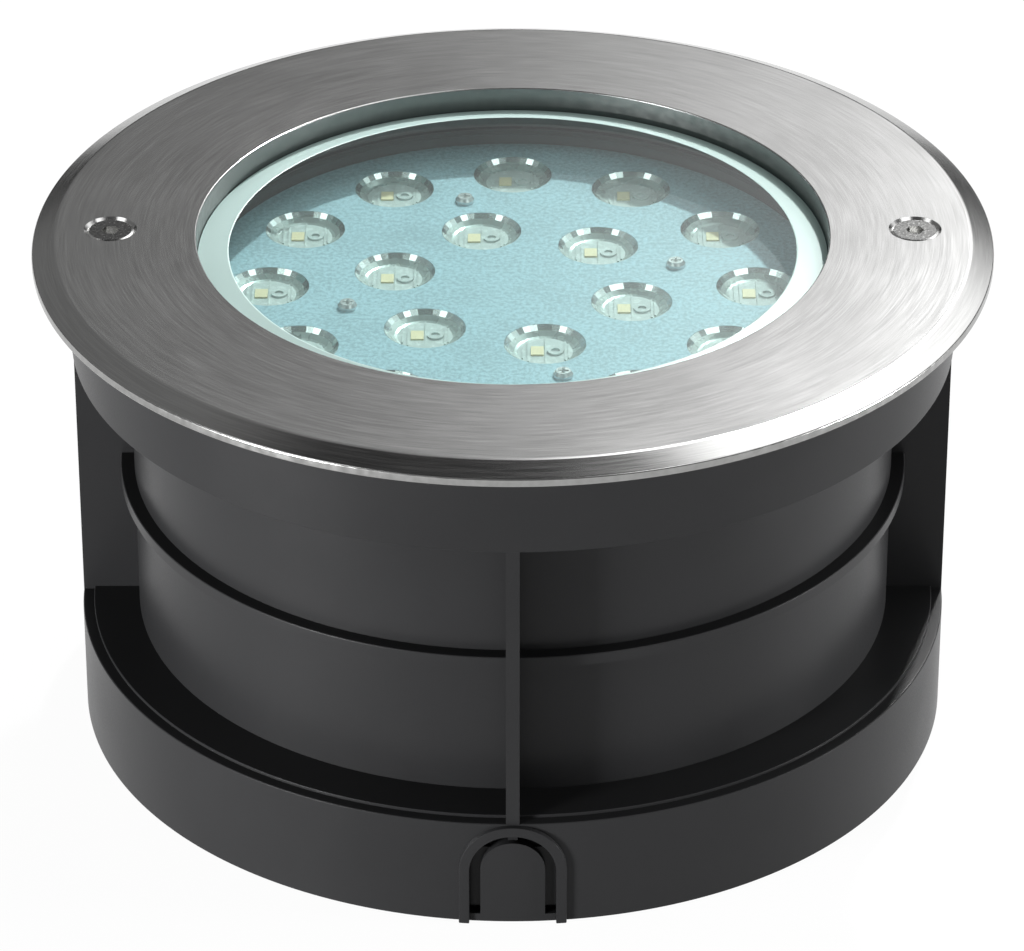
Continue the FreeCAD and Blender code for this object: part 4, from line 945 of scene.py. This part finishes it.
def floor_finish():
    """White floor that still takes the lamp's shadow."""
    recipe = Recipe("studio_floor")
    matte = recipe.node("ShaderNodeBsdfDiffuse", None, Color=(0.82, 0.82, 0.82))
    lit = recipe.node("ShaderNodeEmission", None, Color=(1, 1, 1), Strength=1.0)
    return recipe.finish(recipe.node("ShaderNodeMixShader", None, shown(recipe) * 0.95, matte, lit))


def fade_out(recipe, value, start, end):
    """1 up to the start and 0 from the end on."""
    return recipe.between(value, start, end, 1.0, 0.0)


def studio_sky(world):
    """White for the camera. For all else a dim room with one broad soft light at the right and behind."""
    recipe = Recipe("studio_sky", world)
    direction = recipe.node("ShaderNodeTexCoord", output="Generated")
    across, along, up = recipe.split(direction)
    degrees = 180 / math.pi
    azimuth = recipe.node("ShaderNodeMath", {"operation": "ARCTAN2"}, across, along) * degrees
    lift = recipe.node("ShaderNodeMath", {"operation": "ARCSINE"}, up) * degrees
    box = recipe.node("ShaderNodeMapRange", None, azimuth, -1.0, 8.0, 0.0, 1.0)
    box = box * fade_out(recipe, azimuth, 60, 85)
    box = box * (recipe.between(lift, 12, 30) * fade_out(recipe, lift, 65, 71))
    box = box * recipe.between(lift, 30, 60, 1.0, 1.5)
    walls = recipe.between(lift, 6, 16) * fade_out(recipe, lift, 54, 68)
    light = recipe.node("ShaderNodeBackground", None, Color=(1, 1, 1),
                        Strength=box * 1.6 + walls * 0.19 + 0.02)
    white = recipe.node("ShaderNodeBackground", None, Color=(1, 1, 1), Strength=1.0)
    seen, = recipe.outputs("ShaderNodeLightPath", ["Is Camera Ray"])
    recipe.finish(recipe.node("ShaderNodeMixShader", None, seen, light, white), "ShaderNodeOutputWorld")


def panel(name, azimuth, elevation, distance, width, height, power):
    """Soft light aimed at the lamp. Azimuth is counted from behind the lamp towards its right, in degrees."""
    light = bpy.data.lights.new(name, "AREA")
    light.shape = "RECTANGLE"
    light.size = width
    light.size_y = height
    light.energy = power
    stand = bpy.data.objects.new(name, light)
    a, e = math.radians(azimuth), math.radians(elevation)
    offset = Vector((math.sin(a) * math.cos(e), math.cos(a) * math.cos(e), math.sin(e)))
    target = Vector((0, 0, 0.1))
    stand.location = target + offset * distance
    stand.rotation_euler = (target - stand.location).to_track_quat("-Z", "Y").to_euler()
    bpy.context.scene.collection.objects.link(stand)


def make_stage():
    """Floor, room light, panels and camera."""
    scene = bpy.context.scene
    bm = bmesh.new()
    bmesh.ops.create_grid(bm, x_segments=1, y_segments=1, size=12)
    floor = to_object("studio_floor", bm)
    floor.data.materials.append(floor_finish())

    scene.world = bpy.data.worlds.new("studio")
    studio_sky(scene.world)
    panel("key", 20, 44, 1.8, 0.08, 0.08, 31)
    panel("strip_left", 231, 1, 1.5, 0.34, 0.24, 82)
    panel("strip_right", 98, 1, 1.5, 0.28, 0.24, 56)
    panel("high_left", 247, 51, 1.6, 0.75, 0.42, 2.7)
    panel("high_right", 124, 53, 1.6, 0.95, 0.45, 3.3)

    camera_data = bpy.data.cameras.new("camera")
    camera_data.lens = 196.116
    camera_data.sensor_width = 36.0
    camera = bpy.data.objects.new("camera", camera_data)
    camera.location = (-0.00018, -1.2338, 0.7831)
    camera.rotation_euler = (math.radians(59.6825), 0, 0)
    scene.collection.objects.link(camera)
    scene.camera = camera
    scene.view_settings.view_transform = "Standard"


# ---------------------------------------------------------------------------------------------------
# Add-on
# ---------------------------------------------------------------------------------------------------
class WELLLIGHT_OT_frame(bpy.types.Operator):
    """Gives the lamp's solids their finishes"""

    bl_idname = "well_light.frame"
    bl_label = "Finish Solids"
    bl_options = {"REGISTER", "UNDO"}

    def execute(self, context):
        dress_frame()
        return {"FINISHED"}


class WELLLIGHT_OT_sleeve(bpy.types.Operator):
    """Makes the moulded mounting sleeve"""

    bl_idname = "well_light.sleeve"
    bl_label = "Mounting Sleeve"
    bl_options = {"REGISTER", "UNDO"}

    def execute(self, context):
        make_sleeve()
        return {"FINISHED"}


class WELLLIGHT_OT_casting(bpy.types.Operator):
    """Makes the finned casting that carries the lamp"""

    bl_idname = "well_light.casting"
    bl_label = "Lamp Casting"
    bl_options = {"REGISTER", "UNDO"}

    def execute(self, context):
        make_casting()
        return {"FINISHED"}


class WELLLIGHT_OT_bezel(bpy.types.Operator):
    """Makes the brushed steel bezel"""

    bl_idname = "well_light.bezel"
    bl_label = "Bezel"
    bl_options = {"REGISTER", "UNDO"}

    def execute(self, context):
        make_bezel()
        return {"FINISHED"}


class WELLLIGHT_OT_glass(bpy.types.Operator):
    """Makes the glass and its ground border"""

    bl_idname = "well_light.glass"
    bl_label = "Glass"
    bl_options = {"REGISTER", "UNDO"}

    def execute(self, context):
        make_glass()
        return {"FINISHED"}


class WELLLIGHT_OT_lenses(bpy.types.Operator):
    """Makes the lenses with the emitters under them"""

    bl_idname = "well_light.lenses"
    bl_label = "Lenses"
    bl_options = {"REGISTER", "UNDO"}

    def execute(self, context):
        make_lenses()
        return {"FINISHED"}


class WELLLIGHT_OT_lock_screws(bpy.types.Operator):
    """Makes the two countersunk lock screws"""

    bl_idname = "well_light.lock_screws"
    bl_label = "Lock Screws"
    bl_options = {"REGISTER", "UNDO"}

    def execute(self, context):
        make_lock_screws()
        return {"FINISHED"}


class WELLLIGHT_OT_stage(bpy.types.Operator):
    """Sets up the floor, the lights and the camera"""

    bl_idname = "well_light.stage"
    bl_label = "Studio"
    bl_options = {"REGISTER", "UNDO"}

    def execute(self, context):
        make_stage()
        return {"FINISHED"}


STEPS = (
    WELLLIGHT_OT_frame,
    WELLLIGHT_OT_sleeve,
    WELLLIGHT_OT_casting,
    WELLLIGHT_OT_bezel,
    WELLLIGHT_OT_glass,
    WELLLIGHT_OT_lenses,
    WELLLIGHT_OT_lock_screws,
    WELLLIGHT_OT_stage,
)


class WELLLIGHT_PT_panel(bpy.types.Panel):
    """Sizes, colours and pieces of the well light"""

    bl_idname = "WELLLIGHT_PT_panel"
    bl_label = "Well Light"
    bl_space_type = "VIEW_3D"
    bl_region_type = "UI"
    bl_category = "Well Light"

    def draw(self, context):
        layout = self.layout
        for group in (context.scene.well_light_sizes, context.scene.well_light_colours):
            box = layout.box()
            for name in group.__annotations__:
                box.prop(group, name)
        for step in STEPS:
            layout.operator(step.bl_idname)


CLASSES = (WellLightSizes, WellLightColours, *STEPS, WELLLIGHT_PT_panel)


def register():
    for item in CLASSES:
        bpy.utils.register_class(item)
    bpy.types.Scene.well_light_sizes = PointerProperty(type=WellLightSizes)
    bpy.types.Scene.well_light_colours = PointerProperty(type=WellLightColours)


def unregister():
    del bpy.types.Scene.well_light_colours
    del bpy.types.Scene.well_light_sizes
    for item in reversed(CLASSES):
        bpy.utils.unregister_class(item)


def main():
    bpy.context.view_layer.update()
    register()
    for step in STEPS:
        group, name = step.bl_idname.split(".")
        getattr(getattr(bpy.ops, group), name)()


if __name__ == "__main__":
    main()
